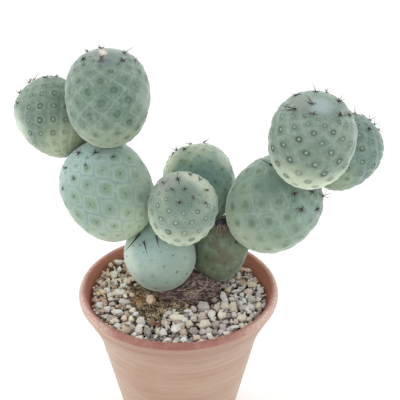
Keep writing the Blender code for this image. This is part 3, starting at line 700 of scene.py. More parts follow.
# Stones that the photo shows: how far each lies to the right of the rim's middle and behind it, how wide it
# is and how tall it is in the picture, in mm
LAID_STONES = {
    "grey": (
        (-30.8, 32.1, 4.9, 2.9), (-25.5, -3.7, 5.8, 2.9), (-23.4, -7.8, 3.4, 1.9), (-29.4, -19.2, 4.4, 2.9),
        (30.6, -8.7, 3.9, 2.9), (38.5, 1.3, 3.4, 3.4), (11.6, -27.8, 3.9, 2.9),
    ),
    "tan": (
        (-34.6, 29.3, 2.4, 2.9), (-34.4, 17.7, 2.9, 1.9), (-28.4, 23.9, 3.9, 1.9), (-24.2, 8.1, 1.5, 1.9),
        (-22.4, 2.2, 2.9, 2.9), (-23.9, -27.0, 4.9, 3.9), (37.1, 14.2, 3.9, 1.9), (31.2, 12.4, 4.4, 3.9),
        (33.3, 17.7, 3.9, 1.5),
    ),
    "cream": (
        (-27.7, 30.2, 3.4, 1.9), (-26.9, 10.3, 3.9, 2.9), (-28.0, 15.9, 3.9, 1.9), (-34.4, 5.6, 3.9, 3.9),
        (-20.9, 10.7, 2.4, 1.9), (-0.5, -16.8, 7.3, 3.4), (-9.1, -27.8, 2.4, 4.4), (1.4, -23.1, 3.9, 3.4),
        (5.1, -21.5, 4.4, 3.9), (12.5, -22.3, 6.3, 5.3), (15.9, -13.5, 3.9, 4.4), (18.3, -8.7, 3.4, 4.4),
        (22.1, -7.0, 4.4, 4.4), (20.5, -15.2, 4.4, 4.4), (25.8, -8.7, 4.4, 5.3), (30.3, -16.8, 5.3, 4.4),
        (38.2, -7.0, 3.9, 3.9), (25.8, 14.2, 2.9, 2.9), (29.4, 19.5, 2.9, 2.4), (26.4, -23.9, 4.9, 1.9),
    ),
    "pink": (
        (-30.7, 21.2, 3.4, 3.4), (-36.5, 11.6, 3.4, 2.9), (-28.3, 3.8, 7.8, 3.9), (11.2, -16.0, 4.4, 3.9),
        (7.4, -9.5, 2.9, 3.4), (33.8, 4.7, 4.9, 3.9), (34.0, 23.9, 3.9, 2.4), (19.5, 11.6, 3.4, 2.9),
        (27.0, -20.0, 2.9, 2.9), (11.1, -34.7, 2.9, 1.9),
    ),
    "ash": (
        (-37.0, 19.5, 2.9, 2.4), (-30.4, -1.2, 5.3, 1.5), (-31.6, -5.4, 3.9, 2.4), (-37.8, -11.9, 3.9, 2.4),
        (-34.3, -16.0, 4.4, 2.4), (7.5, -27.0, 4.4, 4.4), (12.1, -7.4, 6.3, 5.3), (17.1, -2.0, 2.9, 3.4),
        (23.3, -15.2, 2.9, 2.9), (26.2, -14.4, 2.9, 3.4), (35.0, -2.0, 4.9, 3.9), (17.2, -22.3, 3.4, 3.9),
        (34.6, -15.2, 2.9, 3.4),
    ),
    "butter": (
        (-31.5, 12.9, 3.9, 3.9), (-37.7, -7.0, 4.4, 3.9), (36.0, 10.7, 5.8, 3.4), (23.7, 6.4, 3.4, 2.4),
        (27.6, 5.6, 4.9, 1.9),
    ),
    "slate": (
        (-38.3, 5.6, 4.9, 4.4), (-13.7, -28.6, 3.4, 4.9), (5.7, -34.7, 2.9, 2.4),
    ),
    "peach": (
        (-13.4, -2.0, 4.9, 5.8), (-25.3, -16.8, 2.9, 2.9), (-22.0, -17.6, 2.9, 3.4),
        (-6.1, -20.7, 3.9, 3.4), (2.4, -27.8, 3.9, 3.9), (23.3, -28.6, 2.4, 2.4), (8.8, -32.4, 3.9, 2.9),
    ),
    "white": (
        (-33.7, -9.5, 3.9, 2.9), (-28.9, -11.9, 6.3, 2.9), (-27.8, -23.1, 3.9, 2.9),
        (-19.9, -13.5, 2.9, 2.4), (-17.3, -19.2, 4.4, 4.9), (-17.9, -27.0, 4.9, 4.9),
        (-17.7, -32.4, 4.9, 2.4), (-4.4, -12.7, 3.4, 2.4), (-1.3, -25.5, 4.9, 4.4), (-6.8, -28.6, 3.9, 3.4),
        (-4.4, -34.0, 4.4, 2.9), (7.4, -16.8, 2.9, 3.4), (4.6, -11.1, 3.9, 1.9), (21.7, -0.4, 3.4, 6.3),
        (31.4, -2.9, 2.4, 3.4), (34.3, -8.7, 4.9, 3.4), (39.2, 7.3, 3.9, 2.4), (14.8, -30.9, 3.4, 3.4),
        (2.9, -34.0, 3.9, 2.9),
    ),
    "umber": (
        (-12.1, -20.7, 3.9, 4.4), (-9.3, -22.3, 2.9, 3.4),
    ),
    "mauve": (
        (22.3, -20.0, 3.4, 2.4), (20.9, -23.9, 3.9, 3.4), (17.1, -27.8, 2.9, 2.9), (20.3, -27.8, 3.9, 2.9),
    ),
}
LAID_LEVEL = POT_HEIGHT - 0.0063
# In m for each mm: a stone is larger than what its neighbours leave of it in the picture
LAID_SCALE = 0.00116
# The pour: throws all over the bed, where the last ones are all small stones that fill what is left
SQUARE = 0.006
THROWS = 9000
LAST_LARGE_THROW = 5500
THROW_REACH = 0.0422
STONE_SIZES = (0.0017, 0.0029)
SMALL_SHARE = 0.20
SMALL_SIZES = (0.30, 0.62)
LARGE_TOP_DEPTH = 0.0045
SMALL_TOP_DEPTH = 0.0053


def shade(family_colour, x, draw):
    """A stone's colour: its family's, a little lighter or darker at random, and brightened by painted light
    toward the pot's two sides.
    """
    light = draw.uniform(0.86, 1.13) * (0.95 + 0.16 * max(0.0, min(1.0, (abs(x) - 0.012) / 0.018)))
    return paint(*(min(255, number * light) for number in family_colour))


def clear_of_stems(point):
    """How far a place is from the two segments that stand on the trunk."""
    return min(SEGMENTS[name].distance_outside(point) for name in ("left_base", "right_base"))


def near_stones(x, y):
    """The stones that lie near a place, from its square of the pot and the eight round it."""
    column, row = math.floor(x / SQUARE), math.floor(y / SQUARE)
    for across in (-1, 0, 1):
        for along in (-1, 0, 1):
            yield from poured.get((column + across, row + along), ())


def lay_down(x, y, z, size):
    """Notes where a stone came to lie."""
    poured.setdefault((math.floor(x / SQUARE), math.floor(y / SQUARE)), []).append((x, y, z, size))


draw = random.Random(21)
poured = {}
stones = bmesh.new()
stones.from_mesh(gravel.data)
stone_colours = stones.verts.layers.float_color["stone_colour"]
for tint_name, seen_stones in LAID_STONES.items():
    for x, y, wide, tall in seen_stones:
        half = Vector((wide / 2, tall * 0.625, tall * 0.425)) * LAID_SCALE
        middle = Vector((x / 1000, y / 1000, LAID_LEVEL))
        # Behind, the stones lie up against the wall, so each slides up along the line of sight until it fits
        for step in range(16):
            out = math.hypot(middle.x, middle.y)
            width_out = math.hypot(half.x * middle.x / out, half.y * middle.y / out)
            room = inside_radius(0.0055) - 0.0002 - width_out * 0.85
            if out <= room or middle.y < 0.0:
                break
            middle += Vector((0.0, -0.00034, 0.0002))
        if out > room:
            middle.x *= room / out
            middle.y *= room / out
        middle.z -= max(0.0, half.z + 0.0003 - clear_of_stems(middle))
        # Where it would lie on nothing, a plain stone fills the gap under it
        gap = middle.z - half.z - BED_TOP
        if gap > -0.0005:
            prop = Vector((middle.x, middle.y, BED_TOP + gap / 2))
            prop_half = (half.x * 0.75, half.y * 0.75, max(0.0006, gap / 2 + 0.0008))
            knock_stone(stones, stone_colours, prop, prop_half, shade((152, 136, 118), prop.x, draw), 9, draw)
        knock_stone(
            stones, stone_colours, middle, half, shade(stone_tints[tint_name], middle.x, draw), 12, draw,
            swing=0.25, roll=0.25,
        )
        lay_down(middle.x, middle.y, middle.z, (half.x + half.y) / 2)
for throw in range(THROWS):
    angle, reach = draw.uniform(0, math.tau), math.sqrt(draw.random())
    x = reach * THROW_REACH * math.cos(angle)
    y = reach * THROW_REACH * math.sin(angle)
    toward_front = max(0.0, min(1.0, 0.55 + (x - y) / 0.07))
    size = draw.uniform(*STONE_SIZES)
    small = draw.random() < SMALL_SHARE or throw > LAST_LARGE_THROW
    if small:
        size *= draw.uniform(*SMALL_SIZES)
    if math.hypot(x, y) + size * 0.88 > inside_radius(0.0060) - 0.0002:
        continue
    if on_left_patch(x, y):
        continue
    on_patch = min(share_out(x, y, middle, half) for middle, half in bare_patches)
    if on_patch < 0.97 and (size > 0.0020 or draw.random() < 0.90):
        continue
    on_trunk = share_out(x, y, trunk_middle, trunk_half)
    if on_trunk < 1.1:
        continue
    # It falls on the bed, or rolls to rest on the stones that lie there already
    z = (BED_TOP if on_patch > 1.0 else CRUMB_LEVEL) + size * 0.35
    for other_x, other_y, other_z, other_size in near_stones(x, y):
        apart = math.hypot(x - other_x, y - other_y)
        near = (size + other_size) * 0.66
        if apart < near:
            z = max(z, other_z + math.sqrt(near * near - apart * apart) * 0.9)
    # The dressing is levelled, but stands a little higher along the wall and at the back left
    heap = 0.0008 * max(0.0, math.hypot(x, y) - 0.030) / 0.012
    heap += 0.0016 * max(0.0, min(1.0, (y - x) / 0.030 - 0.8))
    if z + size * 0.7 > POT_HEIGHT - (SMALL_TOP_DEPTH if small else LARGE_TOP_DEPTH) + heap:
        continue
    middle = Vector((x, y, z))
    if clear_of_stems(middle) < size * 1.1 + 0.0004:
        continue
    lay_down(x, y, z, size)
    roll = draw.random()
    odd = 0.16 + 0.20 * max(0.0, min(1.0, (-y - 0.008) / 0.014))
    family = brown_grit
    if roll < odd:
        family = odd_stones
    elif roll < odd + (1 - odd) * toward_front:
        family = pale_pumice
    half = (size, size * draw.uniform(0.62, 0.94), size * draw.uniform(0.48, 0.78))
    knock_stone(stones, stone_colours, middle, half, shade(draw.choice(family), x, draw), 9, draw)
stones.to_mesh(gravel.data)
stones.free()
smooth_piece(gravel, 22)
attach(gravel, "root")
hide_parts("gravel")


# The trunk is a low knot of old corky stem, wrapped in flaking brown fibres, with one root going down
# from it into the soil. The two oldest segments sit in hollows on its top.
bark_stuff, tree, shader, place = start_material("corky_bark", 0.92)
swirl = cloud(tree, place, 60.0, 2.0)
drift = stretch(tree, add_node(tree, "CombineXYZ", swirl, swirl, swirl).outputs[0], (0.006, 0.006, 0.006))
swept = add_node(tree, "VectorMath", place, drift, operation="ADD").outputs[0]
strands = cloud(tree, stretch(tree, swept, (170.0, 170.0, 900.0)), 1.0, 5.0, 0.65)
patches = cloud(tree, place, 150.0, 4.0)
cracks = add_node(tree, "TexVoronoi", swept, None, 330.0, feature="DISTANCE_TO_EDGE").outputs[0]
colour = tint(tree, ease(tree, strands, 0.34, 0.68), paint(76, 60, 58), paint(186, 168, 160))
colour = wash(tree, colour, ease(tree, patches, 0.45, 0.62), 0.55, paint(122, 98, 94))
colour = wash(tree, colour, ease(tree, cracks, 0.08, 0.01), 0.85, paint(50, 38, 38))
tree.links.new(colour, shader.inputs["Base Color"])
roughen(tree, shader, maths(tree, "MULTIPLY_ADD", ease(tree, cracks, 0.0, 0.10), 0.5, strands), 0.0010)


ROOT_DEPTH = 0.030
ROOT_WIDTH = 0.14
KNOT_RELIEF = 0.0020
FIBRE_RELIEF = 0.0009
FLAKE_RELIEF = 0.0007


def bark_point(heading, angle, raised=0.0):
    """A place on the knot's bark, round it by its heading and up it by its angle, or raised off it."""
    if angle >= 0.0:
        wide, height = math.cos(angle), trunk_half.z * math.sin(angle)
    else:
        narrowing = ROOT_WIDTH + (1 - ROOT_WIDTH) * math.cos(angle) ** 3
        wide = narrowing * min(1.0, math.cos(angle) * 6.0)
        height = -ROOT_DEPTH * math.sin(angle) ** 2
    if wide < 1e-6:
        return Vector((0.0, 0.0, height))
    share = 0.5 + angle / math.pi
    knot = noise.noise(Vector((math.cos(heading) * 2.6, math.sin(heading) * 2.6, share * 3.0)))
    fibre = noise.noise(Vector((math.cos(heading) * 9, math.sin(heading) * 9, share * 4 + knot)))
    flake = noise.noise(Vector((math.cos(heading) * 16, math.sin(heading) * 16, share * 26 + 2 * fibre)))
    out = KNOT_RELIEF * knot + FIBRE_RELIEF * fibre + FLAKE_RELIEF * flake + raised
    return Vector(
        (
            (trunk_half.x * wide + out) * math.cos(heading),
            (trunk_half.y * wide + out) * math.sin(heading),
            height + (0.4 * out if angle > 0 else 0.0),
        )
    )


trunk_bm = bmesh.new()
bmesh.ops.create_uvsphere(trunk_bm, u_segments=120, v_segments=72, radius=1.0)
for vert in trunk_bm.verts:
    heading = math.atan2(vert.co.y, vert.co.x)
    angle = math.asin(max(-1.0, min(1.0, vert.co.z)))
    vert.co = bark_point(heading, angle)
bmesh.ops.translate(trunk_bm, verts=trunk_bm.verts, vec=trunk_middle)
trunk = start_piece("corky_trunk", trunk_bm, bark_stuff)
SEAT_GAP = 0.0005
seats = []
for name in ("left_base", "right_base"):
    segment = SEGMENTS[name]
    seat = bmesh.new()
    bmesh.ops.create_uvsphere(seat, u_segments=48, v_segments=32, radius=1.0)
    for vert in seat.verts:
        along = max(-1.0, min(1.0, vert.co.z))
        ring = math.hypot(vert.co.x, vert.co.y)
        radius = segment.radius_at(along) + SEAT_GAP
        across = Vector((vert.co.x, vert.co.y, 0.0)) * (radius / ring if ring > 1e-6 else 0.0)
        vert.co = segment.to_world(across + Vector((0.0, 0.0, (segment.half_length + SEAT_GAP) * along)))
    seats.append(start_piece("seat", seat))
cut_away(trunk, seats)
smooth_piece(trunk, 50)
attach(trunk, "root")
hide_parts("woody_base")

strand_stuff = speckled_stuff("bark_fibres", 0.85, "fibre_colour", 1200.0, 0.4, paint(62, 46, 40))
strand_tints = (
    paint(160, 138, 126), paint(116, 94, 92), paint(190, 174, 160), paint(86, 66, 66), paint(142, 118, 114),
    paint(62, 46, 46), paint(178, 158, 134), paint(72, 54, 52),
)
BARK_FIBRES = 220
draw = random.Random(9)
peel = bmesh.new()
fibre_colours = peel.verts.layers.float_color.new("fibre_colour")
stuck_on = 0
while stuck_on < BARK_FIBRES:
    heading, angle = draw.uniform(-math.pi, math.pi), draw.uniform(-0.05, 1.15)
    way = draw.uniform(-0.7, 0.7) + (math.pi if draw.random() < 0.5 else 0.0)
    length = draw.choice((3, 4, 5, 6, 8))
    points = []
    for step in range(length + 1):
        lifted = 0.00022 if 0 < step < length else 0.0
        points.append(trunk_middle + bark_point(heading, angle, lifted))
        way += draw.uniform(-0.25, 0.25)
        heading += 0.085 * math.cos(way) / max(0.3, math.cos(angle))
        angle = min(1.25, angle + 0.085 * math.sin(way))
    thick = draw.uniform(0.00010, 0.00034)
    if any(clear_of_stems(point) < thick + 0.0004 for point in points):
        continue
    stuck_on += 1
    before = len(peel.verts)
    lay_fibre(peel, points, thick)
    peel.verts.ensure_lookup_table()
    colour = draw.choice(strand_tints)
    for vert in peel.verts[before:]:
        vert[fibre_colours] = colour
bmesh.ops.recalc_face_normals(peel, faces=peel.faces)
bark_fibres = start_piece("bark_fibres", peel, strand_stuff)
smooth_piece(bark_fibres, 60)
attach(bark_fibres, "root")


# The ten stem segments are eggs of green flesh under a thick waxy skin. Each areole sits on a low tubercle,
# and the tubercles meet in a net of fine lines. A segment grows from the tip or shoulder of an older one on
# a narrow joint, so each pair only touches, at a flat scar.
FINE = 8
# How wide an areole's pit and the line between two tubercles are, as shares of half a tubercle
PIT_WIDTH = 0.20
LINE_WIDTH = 0.13
SWELLING = 0.00025


def waver(local):
    """How far the rows wander from even at a place on the segment, as they do on a live plant."""
    return 0.05 * noise.noise(local * 110), 0.05 * noise.noise(local * 110 + Vector((7.0, 3.0, 5.0)))


def cell_shape(segment):
    """The four numbers that turn shares of a cell into sideways and upward reach, in half cell widths."""
    twist = segment.first[0] * segment.second[1] + segment.second[0] * segment.first[1]
    long = segment.half_length / segment.half_width
    scale = 2.0 / math.sqrt(twist * long)
    return (
        scale * segment.second[1],
        scale * segment.first[1],
        scale * segment.second[0] * long,
        -scale * segment.first[0] * long,
    )


def stray(tree, value, pattern, amount):
    """Makes a value wander up and down a little with a pattern of clouds."""
    return maths(tree, "MULTIPLY_ADD", maths(tree, "SUBTRACT", pattern, 0.5), amount, value)


def roll_egg(name, segment, relief, groove, pit, skin):
    """A fine sheet of rows and columns, rolled up into the segment's egg and raised into tubercles."""
    bm = bmesh.new()
    rows = bm.loops.layers.uv.new("rows")
    half_rows = segment.last_row + 1
    wide_1, wide_2, tall_1, tall_2 = cell_shape(segment)
    bmesh.ops.create_grid(bm, x_segments=segment.sides * FINE, y_segments=half_rows * 2 * FINE, size=1.0)
    for vert in bm.verts:
        along = segment.along_at(vert.co.y * half_rows)
        heading = segment.phase + math.pi * (vert.co.x + 1.0)
        local = segment.on_egg(along, heading)
        first, second = segment.rows_at(along, heading)
        first_shift, second_shift = waver(local)
        first += first_shift
        second += second_shift
        for loop in vert.link_loops:
            loop[rows].uv = (first, second)
        first -= math.floor(first + 0.5)
        second -= math.floor(second + 0.5)
        across = wide_1 * first + wide_2 * second
        up = tall_1 * first + tall_2 * second
        reach = math.hypot(across, up)
        edge = 0.6 * 2 * max(abs(first), abs(second)) + 0.4 * min(1.2, reach)
        # The tubercles are lower toward the egg's ends, and run out before them
        climb = math.atanh(min(0.999, abs(along)))
        level = max(0.0, min(1.0, (1.75 - climb) / 0.3))
        size = level * (1.0 - 0.5 * abs(along))
        raised = relief * (1.0 - 1.4 * min(1.0, edge) ** 2.2)
        raised -= pit * math.exp(-((reach / PIT_WIDTH) ** 2))
        raised -= groove * math.exp(-(((1.0 - edge) / LINE_WIDTH) ** 2))
        swell = SWELLING * noise.noise(local * 90 + segment.centre * 50)
        away = local.normalized() if local.length > 0 else Vector((0.0, 0.0, 1.0))
        vert.co = segment.to_world(local + away * (size * raised / 1000 + swell))
    bmesh.ops.remove_doubles(bm, verts=bm.verts, dist=2e-6)
    bmesh.ops.recalc_face_normals(bm, faces=bm.faces)
    piece = start_piece("stem_" + name, bm, skin)
    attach(piece, "root")
    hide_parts("segment_" + name)
    return piece


def waxy_skin(
    name, segment, low, middle, high, net, patch, halo, ring, dot,
    square=0.0, bold=1.0, even=0.25, pale_to=-0.10, net_from=0.84, soft_dot=1.0, blots=(),
):
    """Green skin under a thin grey bloom. Low, middle and high colour the egg from its joint to its tip, and
    the pale low colour is partly painted light thrown up from the white table.

    Net, patch, halo, ring and dot are each a colour and a strength: the line between two tubercles, the
    tubercle's own colour, the pale round about the areole, the dark ring and the areole itself.
    Square is how far the halo follows the cell's corners and lies near its edge, from 0 for a round one.
    Bold widens the ring and the halo, soft_dot the dot, and even is the least strength of a cell's marks.
    The low colour runs out at pale_to, and net_from is how near to the cell's edge the net starts.
    A blot is a soft patch: where in mm from the rim's middle, how wide, its colour and its strength. Some
    blots are marks of the skin, and some are painted highlight or painted shade.
    """
    skin, tree, shader, place = start_material("skin_" + name, 0.60)
    shader.inputs["Sheen Weight"].default_value = 0.75
    shader.inputs["Sheen Roughness"].default_value = 0.3
    shader.inputs["Sheen Tint"].default_value = (0.9, 1.0, 0.92, 1.0)
    shader.inputs["Specular IOR Level"].default_value = 0.35
    turn = segment.turn.transposed().to_euler()
    moved = add_node(tree, "VectorMath", place, tuple(segment.centre), operation="SUBTRACT").outputs[0]
    unit = (1 / segment.half_width, 1 / segment.half_width, 1 / segment.half_length)
    local = stretch(tree, moved, unit, turn=turn)
    height = add_node(tree, "SeparateXYZ", local).outputs[2]
    wide_cloud = cloud(tree, place, 55.0, 3.0)
    fine_cloud = cloud(tree, place, 420.0, 5.0, 0.65)
    along = stray(tree, height, wide_cloud, 0.6)
    colour = tint(tree, ease(tree, along, -0.87 + 0.8 * pale_to, pale_to), paint(*low), paint(*middle))
    colour = tint(tree, ease(tree, along, 0.25, 0.95), colour, paint(*high))

    # Faint flushes of purple and of fresher green
    flush = ease(tree, cloud(tree, place, 75.0, 4.0, 0.6), 0.50, 0.68)
    colour = wash(tree, colour, flush, 0.08, paint(156, 144, 146))
    elsewhere = stretch(tree, place, (1, 1, 1), (0.3, 0.1, 0.2))
    fresh = ease(tree, cloud(tree, elsewhere, 95.0, 4.0, 0.6), 0.50, 0.68)
    colour = wash(tree, colour, fresh, 0.16, paint(140, 166, 122))

    # Where in its cell a place lies: first and second run from -0.5 to 0.5, with the areole at their middle
    grid = add_node(tree, "SeparateXYZ", add_node(tree, "UVMap", uv_map="rows").outputs[0])
    counts = [maths(tree, "FLOOR", maths(tree, "ADD", grid.outputs[side], 0.5)) for side in (0, 1)]
    first, second = (maths(tree, "SUBTRACT", grid.outputs[side], counts[side]) for side in (0, 1))
    wide_1, wide_2, tall_1, tall_2 = cell_shape(segment)
    across = maths(tree, "MULTIPLY_ADD", first, wide_1, maths(tree, "MULTIPLY", second, wide_2))
    up = maths(tree, "MULTIPLY_ADD", first, tall_1, maths(tree, "MULTIPLY", second, tall_2))
    squares = [maths(tree, "POWER", way, 2.0) for way in (across, up)]
    reach = stray(tree, maths(tree, "SQRT", maths(tree, "ADD", *squares)), fine_cloud, 0.16)
    side = maths(tree, "MAXIMUM", maths(tree, "ABSOLUTE", first), maths(tree, "ABSOLUTE", second))
    edge = maths(tree, "MULTIPLY_ADD", side, 1.2, maths(tree, "MULTIPLY", reach, 0.4))
    edge = stray(tree, edge, cloud(tree, place, 240.0, 3.0), 0.22)
    # Each cell has a number of its own, the same on both sides of the seam, and a random strength from it
    cell = maths(tree, "MULTIPLY", counts[1], -segment.first[0])
    cell = maths(tree, "MULTIPLY_ADD", counts[0], segment.second[0], cell)
    cell = maths(tree, "ADD", cell, 0.37)
    lot = add_node(tree, "TexWhiteNoise", None, cell, noise_dimensions="1D").outputs[0]
    steep = maths(tree, "ABSOLUTE", height)
    open_rows = ease(tree, steep, 0.955, 0.88)
    uneven = maths(tree, "MULTIPLY", open_rows, ease(tree, cloud(tree, place, 120.0, 3.0), 0.25, 0.60))
    # The marks fade toward the joint, where the skin is oldest
    faded = maths(tree, "MULTIPLY_ADD", ease(tree, height, -0.85, -0.35), 0.65, 0.35)
    open_rows = maths(tree, "MULTIPLY", open_rows, faded)
    each = maths(tree, "MULTIPLY", open_rows, maths(tree, "MULTIPLY_ADD", lot, 1.0 - even, even))

    def mark(colour, shape, finish, where):
        """Lays one of the cell's marks, which is a colour and a strength, over the skin."""
        return wash(tree, colour, maths(tree, "MULTIPLY", shape, finish[1]), where, paint(*finish[0]))

    colour = mark(colour, ease(tree, reach, 0.85, 0.25), patch, each)
    colour = mark(colour, ease(tree, edge, net_from, net_from + 0.10), net, uneven)
    rim = maths(tree, "MULTIPLY_ADD", edge, square, maths(tree, "MULTIPLY", reach, 1.0 - square))
    inner = (0.28 + 0.24 * square) * bold
    outer = (0.74 + 0.10 * square) * min(bold, 1.2)
    halo_shape = ease(tree, rim, inner, inner + 0.15)
    halo_shape = maths(tree, "MULTIPLY", halo_shape, ease(tree, rim, outer, outer - 0.25))
    colour = mark(colour, halo_shape, halo, each)
    ring_shape = ease(tree, reach, 0.46 * bold, 0.20 * bold)
    colour = mark(colour, ring_shape, ring, each)
    colour = mark(colour, ease(tree, reach, 0.19 * soft_dot, 0.08), dot, open_rows)
    grain = cloud(tree, place, 1300.0, 3.0, 0.7)
    colour = wash(tree, colour, ease(tree, grain, 0.46, 0.34), 0.16, paint(84, 106, 90))
    bloom = ease(tree, fine_cloud, 0.42, 0.72)
    colour = wash(tree, colour, bloom, 0.16, paint(208, 220, 208))
    for spot, size, blot_colour, strength in blots:
        middle = tuple(Vector(spot) / 1000 + RIM_MIDDLE)
        away = add_node(tree, "VectorMath", place, middle, operation="DISTANCE").outputs[1]
        blot = ease(tree, stray(tree, away, wide_cloud, 0.006), size / 1000, size / 4000)
        colour = wash(tree, colour, blot, strength, paint(*blot_colour))
    tree.links.new(colour, shader.inputs["Base Color"])
    roughen(tree, shader, maths(tree, "MULTIPLY_ADD", ring_shape, -0.6, fine_cloud), 0.00018, 0.6)
    return skin


# What each segment's skin looks like
SKINS = {
    "left_base": dict(
        low=(158, 170, 152), middle=(158, 180, 168), high=(152, 179, 173),
        net=((179, 195, 185), 0.10), patch=((139, 162, 145), 0.10), halo=((181, 197, 185), 0.12),
        ring=((112, 132, 110), 0.22), dot=((80, 94, 76), 0.30),
        blots=(
            ((-3.7, -8.6, 19.6), 9.0, (138, 160, 152), 0.5),
            # The next two pale blots are a painted highlight along the segment's left edge
            ((-22.0, -2.0, 14.0), 9.5, (202, 216, 202), 0.55),
            ((-23.6, 3.2, 21.4), 8.5, (202, 216, 206), 0.55),
        ),
    ),
    "right_base": dict(
        low=(122, 134, 108), middle=(106, 122, 98), high=(98, 112, 92),
        net=((140, 150, 128), 0.12), patch=((92, 108, 82), 0.3), halo=((138, 150, 124), 0.1),
        ring=((72, 84, 62), 0.30), dot=((50, 56, 44), 0.5),
        blots=(
            ((22.0, 4.5, 14.0), 6.5, (104, 94, 74), 0.65),
            ((15.5, 6.5, 12.0), 4.5, (92, 92, 70), 0.6),
            ((26.8, 6.8, 16.4), 5.0, (122, 136, 112), 0.5),
            ((20.7, 10.5, 25.0), 5.0, (104, 88, 82), 0.75),
            ((17.3, 6.7, 19.2), 3.5, (96, 90, 72), 0.5),
        ),
    ),
    "left_middle": dict(
        low=(196, 212, 184), middle=(137, 160, 146), high=(156, 182, 178),
        net=((116, 140, 146), 0.32), patch=((118, 148, 116), 0.42), halo=((176, 194, 186), 0.40),
        ring=((92, 118, 90), 0.30), dot=((64, 78, 58), 0.5), square=0.9, bold=1.35, even=0.45, net_from=0.90,
        # This pale blot is a painted highlight on the segment's right edge
        blots=(((-16.0, 8.0, 50.0), 11.0, (168, 184, 164), 0.5),),
    ),
    "front": dict(
        low=(216, 228, 202), middle=(118, 140, 122), high=(148, 162, 148),
        net=((172, 186, 168), 0.20), patch=((100, 124, 110), 0.42), halo=((170, 184, 168), 0.36),
        ring=((66, 84, 72), 0.85), dot=((196, 206, 184), 0.75), bold=1.45, pale_to=0.30, soft_dot=1.3,
        blots=(
            ((-5.6, -4.5, 58.9), 7.5, (150, 146, 146), 0.6),
            ((2.6, -12.5, 56.5), 12.0, (88, 114, 104), 0.65),
            # The next three pale blots are a painted highlight along the upper right edge
            ((6.6, 0.5, 60.2), 5.5, (200, 206, 186), 0.6),
            ((11.6, -3.0, 58.0), 6.0, (200, 208, 190), 0.6),
            ((15.2, -6.4, 53.7), 6.0, (190, 198, 180), 0.5),
        ),
    ),
    "left_top": dict(
        low=(150, 165, 136), middle=(100, 123, 110), high=(114, 132, 122),
        net=((152, 172, 158), 0.38), patch=((80, 108, 92), 0.64), halo=((142, 162, 148), 0.20),
        ring=((64, 90, 70), 0.68), dot=((140, 156, 134), 0.5), net_from=0.87, bold=1.2, even=0.3,
        blots=(
            ((-30.6, 12.5, 110.9), 4.2, (92, 120, 126), 0.6),
            ((-33.2, 13.6, 111.3), 2.4, (84, 76, 70), 0.8),
            ((-33.0, 18.6, 112.3), 3.4, (196, 192, 180), 0.6),
            # This pale blot is a painted highlight on the segment's right edge
            ((-17.0, 14.0, 92.0), 10.0, (160, 176, 162), 0.6),
        ),
    ),
    "left_outer": dict(
        low=(172, 184, 152), middle=(98, 120, 106), high=(120, 140, 126),
        net=((150, 168, 148), 0.20), patch=((86, 110, 94), 0.45), halo=((146, 164, 148), 0.36),
        ring=((56, 78, 62), 0.85), dot=((176, 188, 164), 0.6), square=0.2, bold=1.3, soft_dot=1.2,
        blots=(
            # A painted highlight on the left edge, then painted shade on the right side where the left top
            # segment hangs close
            ((-76.0, 32.0, 68.0), 12.0, (204, 216, 198), 0.85),
            ((-46.0, 30.0, 62.0), 15.0, (72, 96, 80), 0.65),
        ),
    ),
    "back": dict(
        low=(148, 170, 150), middle=(112, 142, 130), high=(158, 172, 148),
        net=((146, 168, 150), 0.30), patch=((100, 126, 100), 0.40), halo=((144, 162, 138), 0.15),
        ring=((92, 112, 80), 0.4), dot=((76, 88, 62), 0.5), square=0.3,
        blots=(
            ((12.6, 23.4, 48.5), 12.0, (88, 118, 110), 0.65),
            ((-5.1, 33.5, 47.0), 9.0, (216, 222, 192), 0.75),
            ((22.5, 34.0, 50.0), 8.0, (192, 204, 182), 0.55),
            ((3.1, 27.9, 52.4), 2.8, (104, 120, 88), 0.5),
            ((11.6, 26.5, 52.7), 2.8, (104, 120, 88), 0.5),
        ),
    ),
    "right_middle": dict(
        low=(194, 212, 184), middle=(122, 145, 129), high=(106, 128, 118),
        net=((158, 178, 168), 0.32), patch=((92, 122, 94), 0.50), halo=((150, 168, 150), 0.34),
        ring=((80, 104, 78), 0.5), dot=((130, 150, 124), 0.4), square=0.55, even=0.4, pale_to=0.05,
        blots=(
            # This dark blot is painted shade under the right top segment
            ((42.0, -1.3, 56.0), 11.0, (90, 112, 104), 0.6),
            ((28.6, 3.7, 48.4), 9.0, (146, 168, 142), 0.4),
            ((59.5, -4.1, 43.9), 8.0, (136, 160, 154), 0.4),
            ((46.8, -8.1, 34.0), 10.0, (136, 160, 128), 0.35),
        ),
    ),
    "right_top": dict(
        low=(214, 228, 198), middle=(108, 128, 114), high=(118, 136, 126),
        net=((160, 178, 160), 0.28), patch=((84, 106, 92), 0.56), halo=((150, 166, 148), 0.15),
        ring=((50, 70, 58), 0.85), dot=((190, 200, 178), 0.7), bold=1.3, pale_to=0.12, net_from=0.78,
        blots=(
            ((54.5, -3.5, 99.0), 8.0, (150, 150, 140), 0.4),
            ((61.8, -6.5, 98.0), 7.5, (166, 186, 188), 0.6),
            ((78.0, -6.0, 84.0), 9.0, (150, 158, 160), 0.4),
        ),
    ),
    "right_outer": dict(
        low=(142, 160, 132), middle=(100, 126, 118), high=(102, 126, 118),
        net=((140, 160, 146), 0.25), patch=((88, 112, 98), 0.35), halo=((134, 154, 136), 0.30),
        ring=((54, 76, 58), 0.85), dot=((160, 172, 146), 0.5), bold=1.3, soft_dot=1.2,
    ),
}
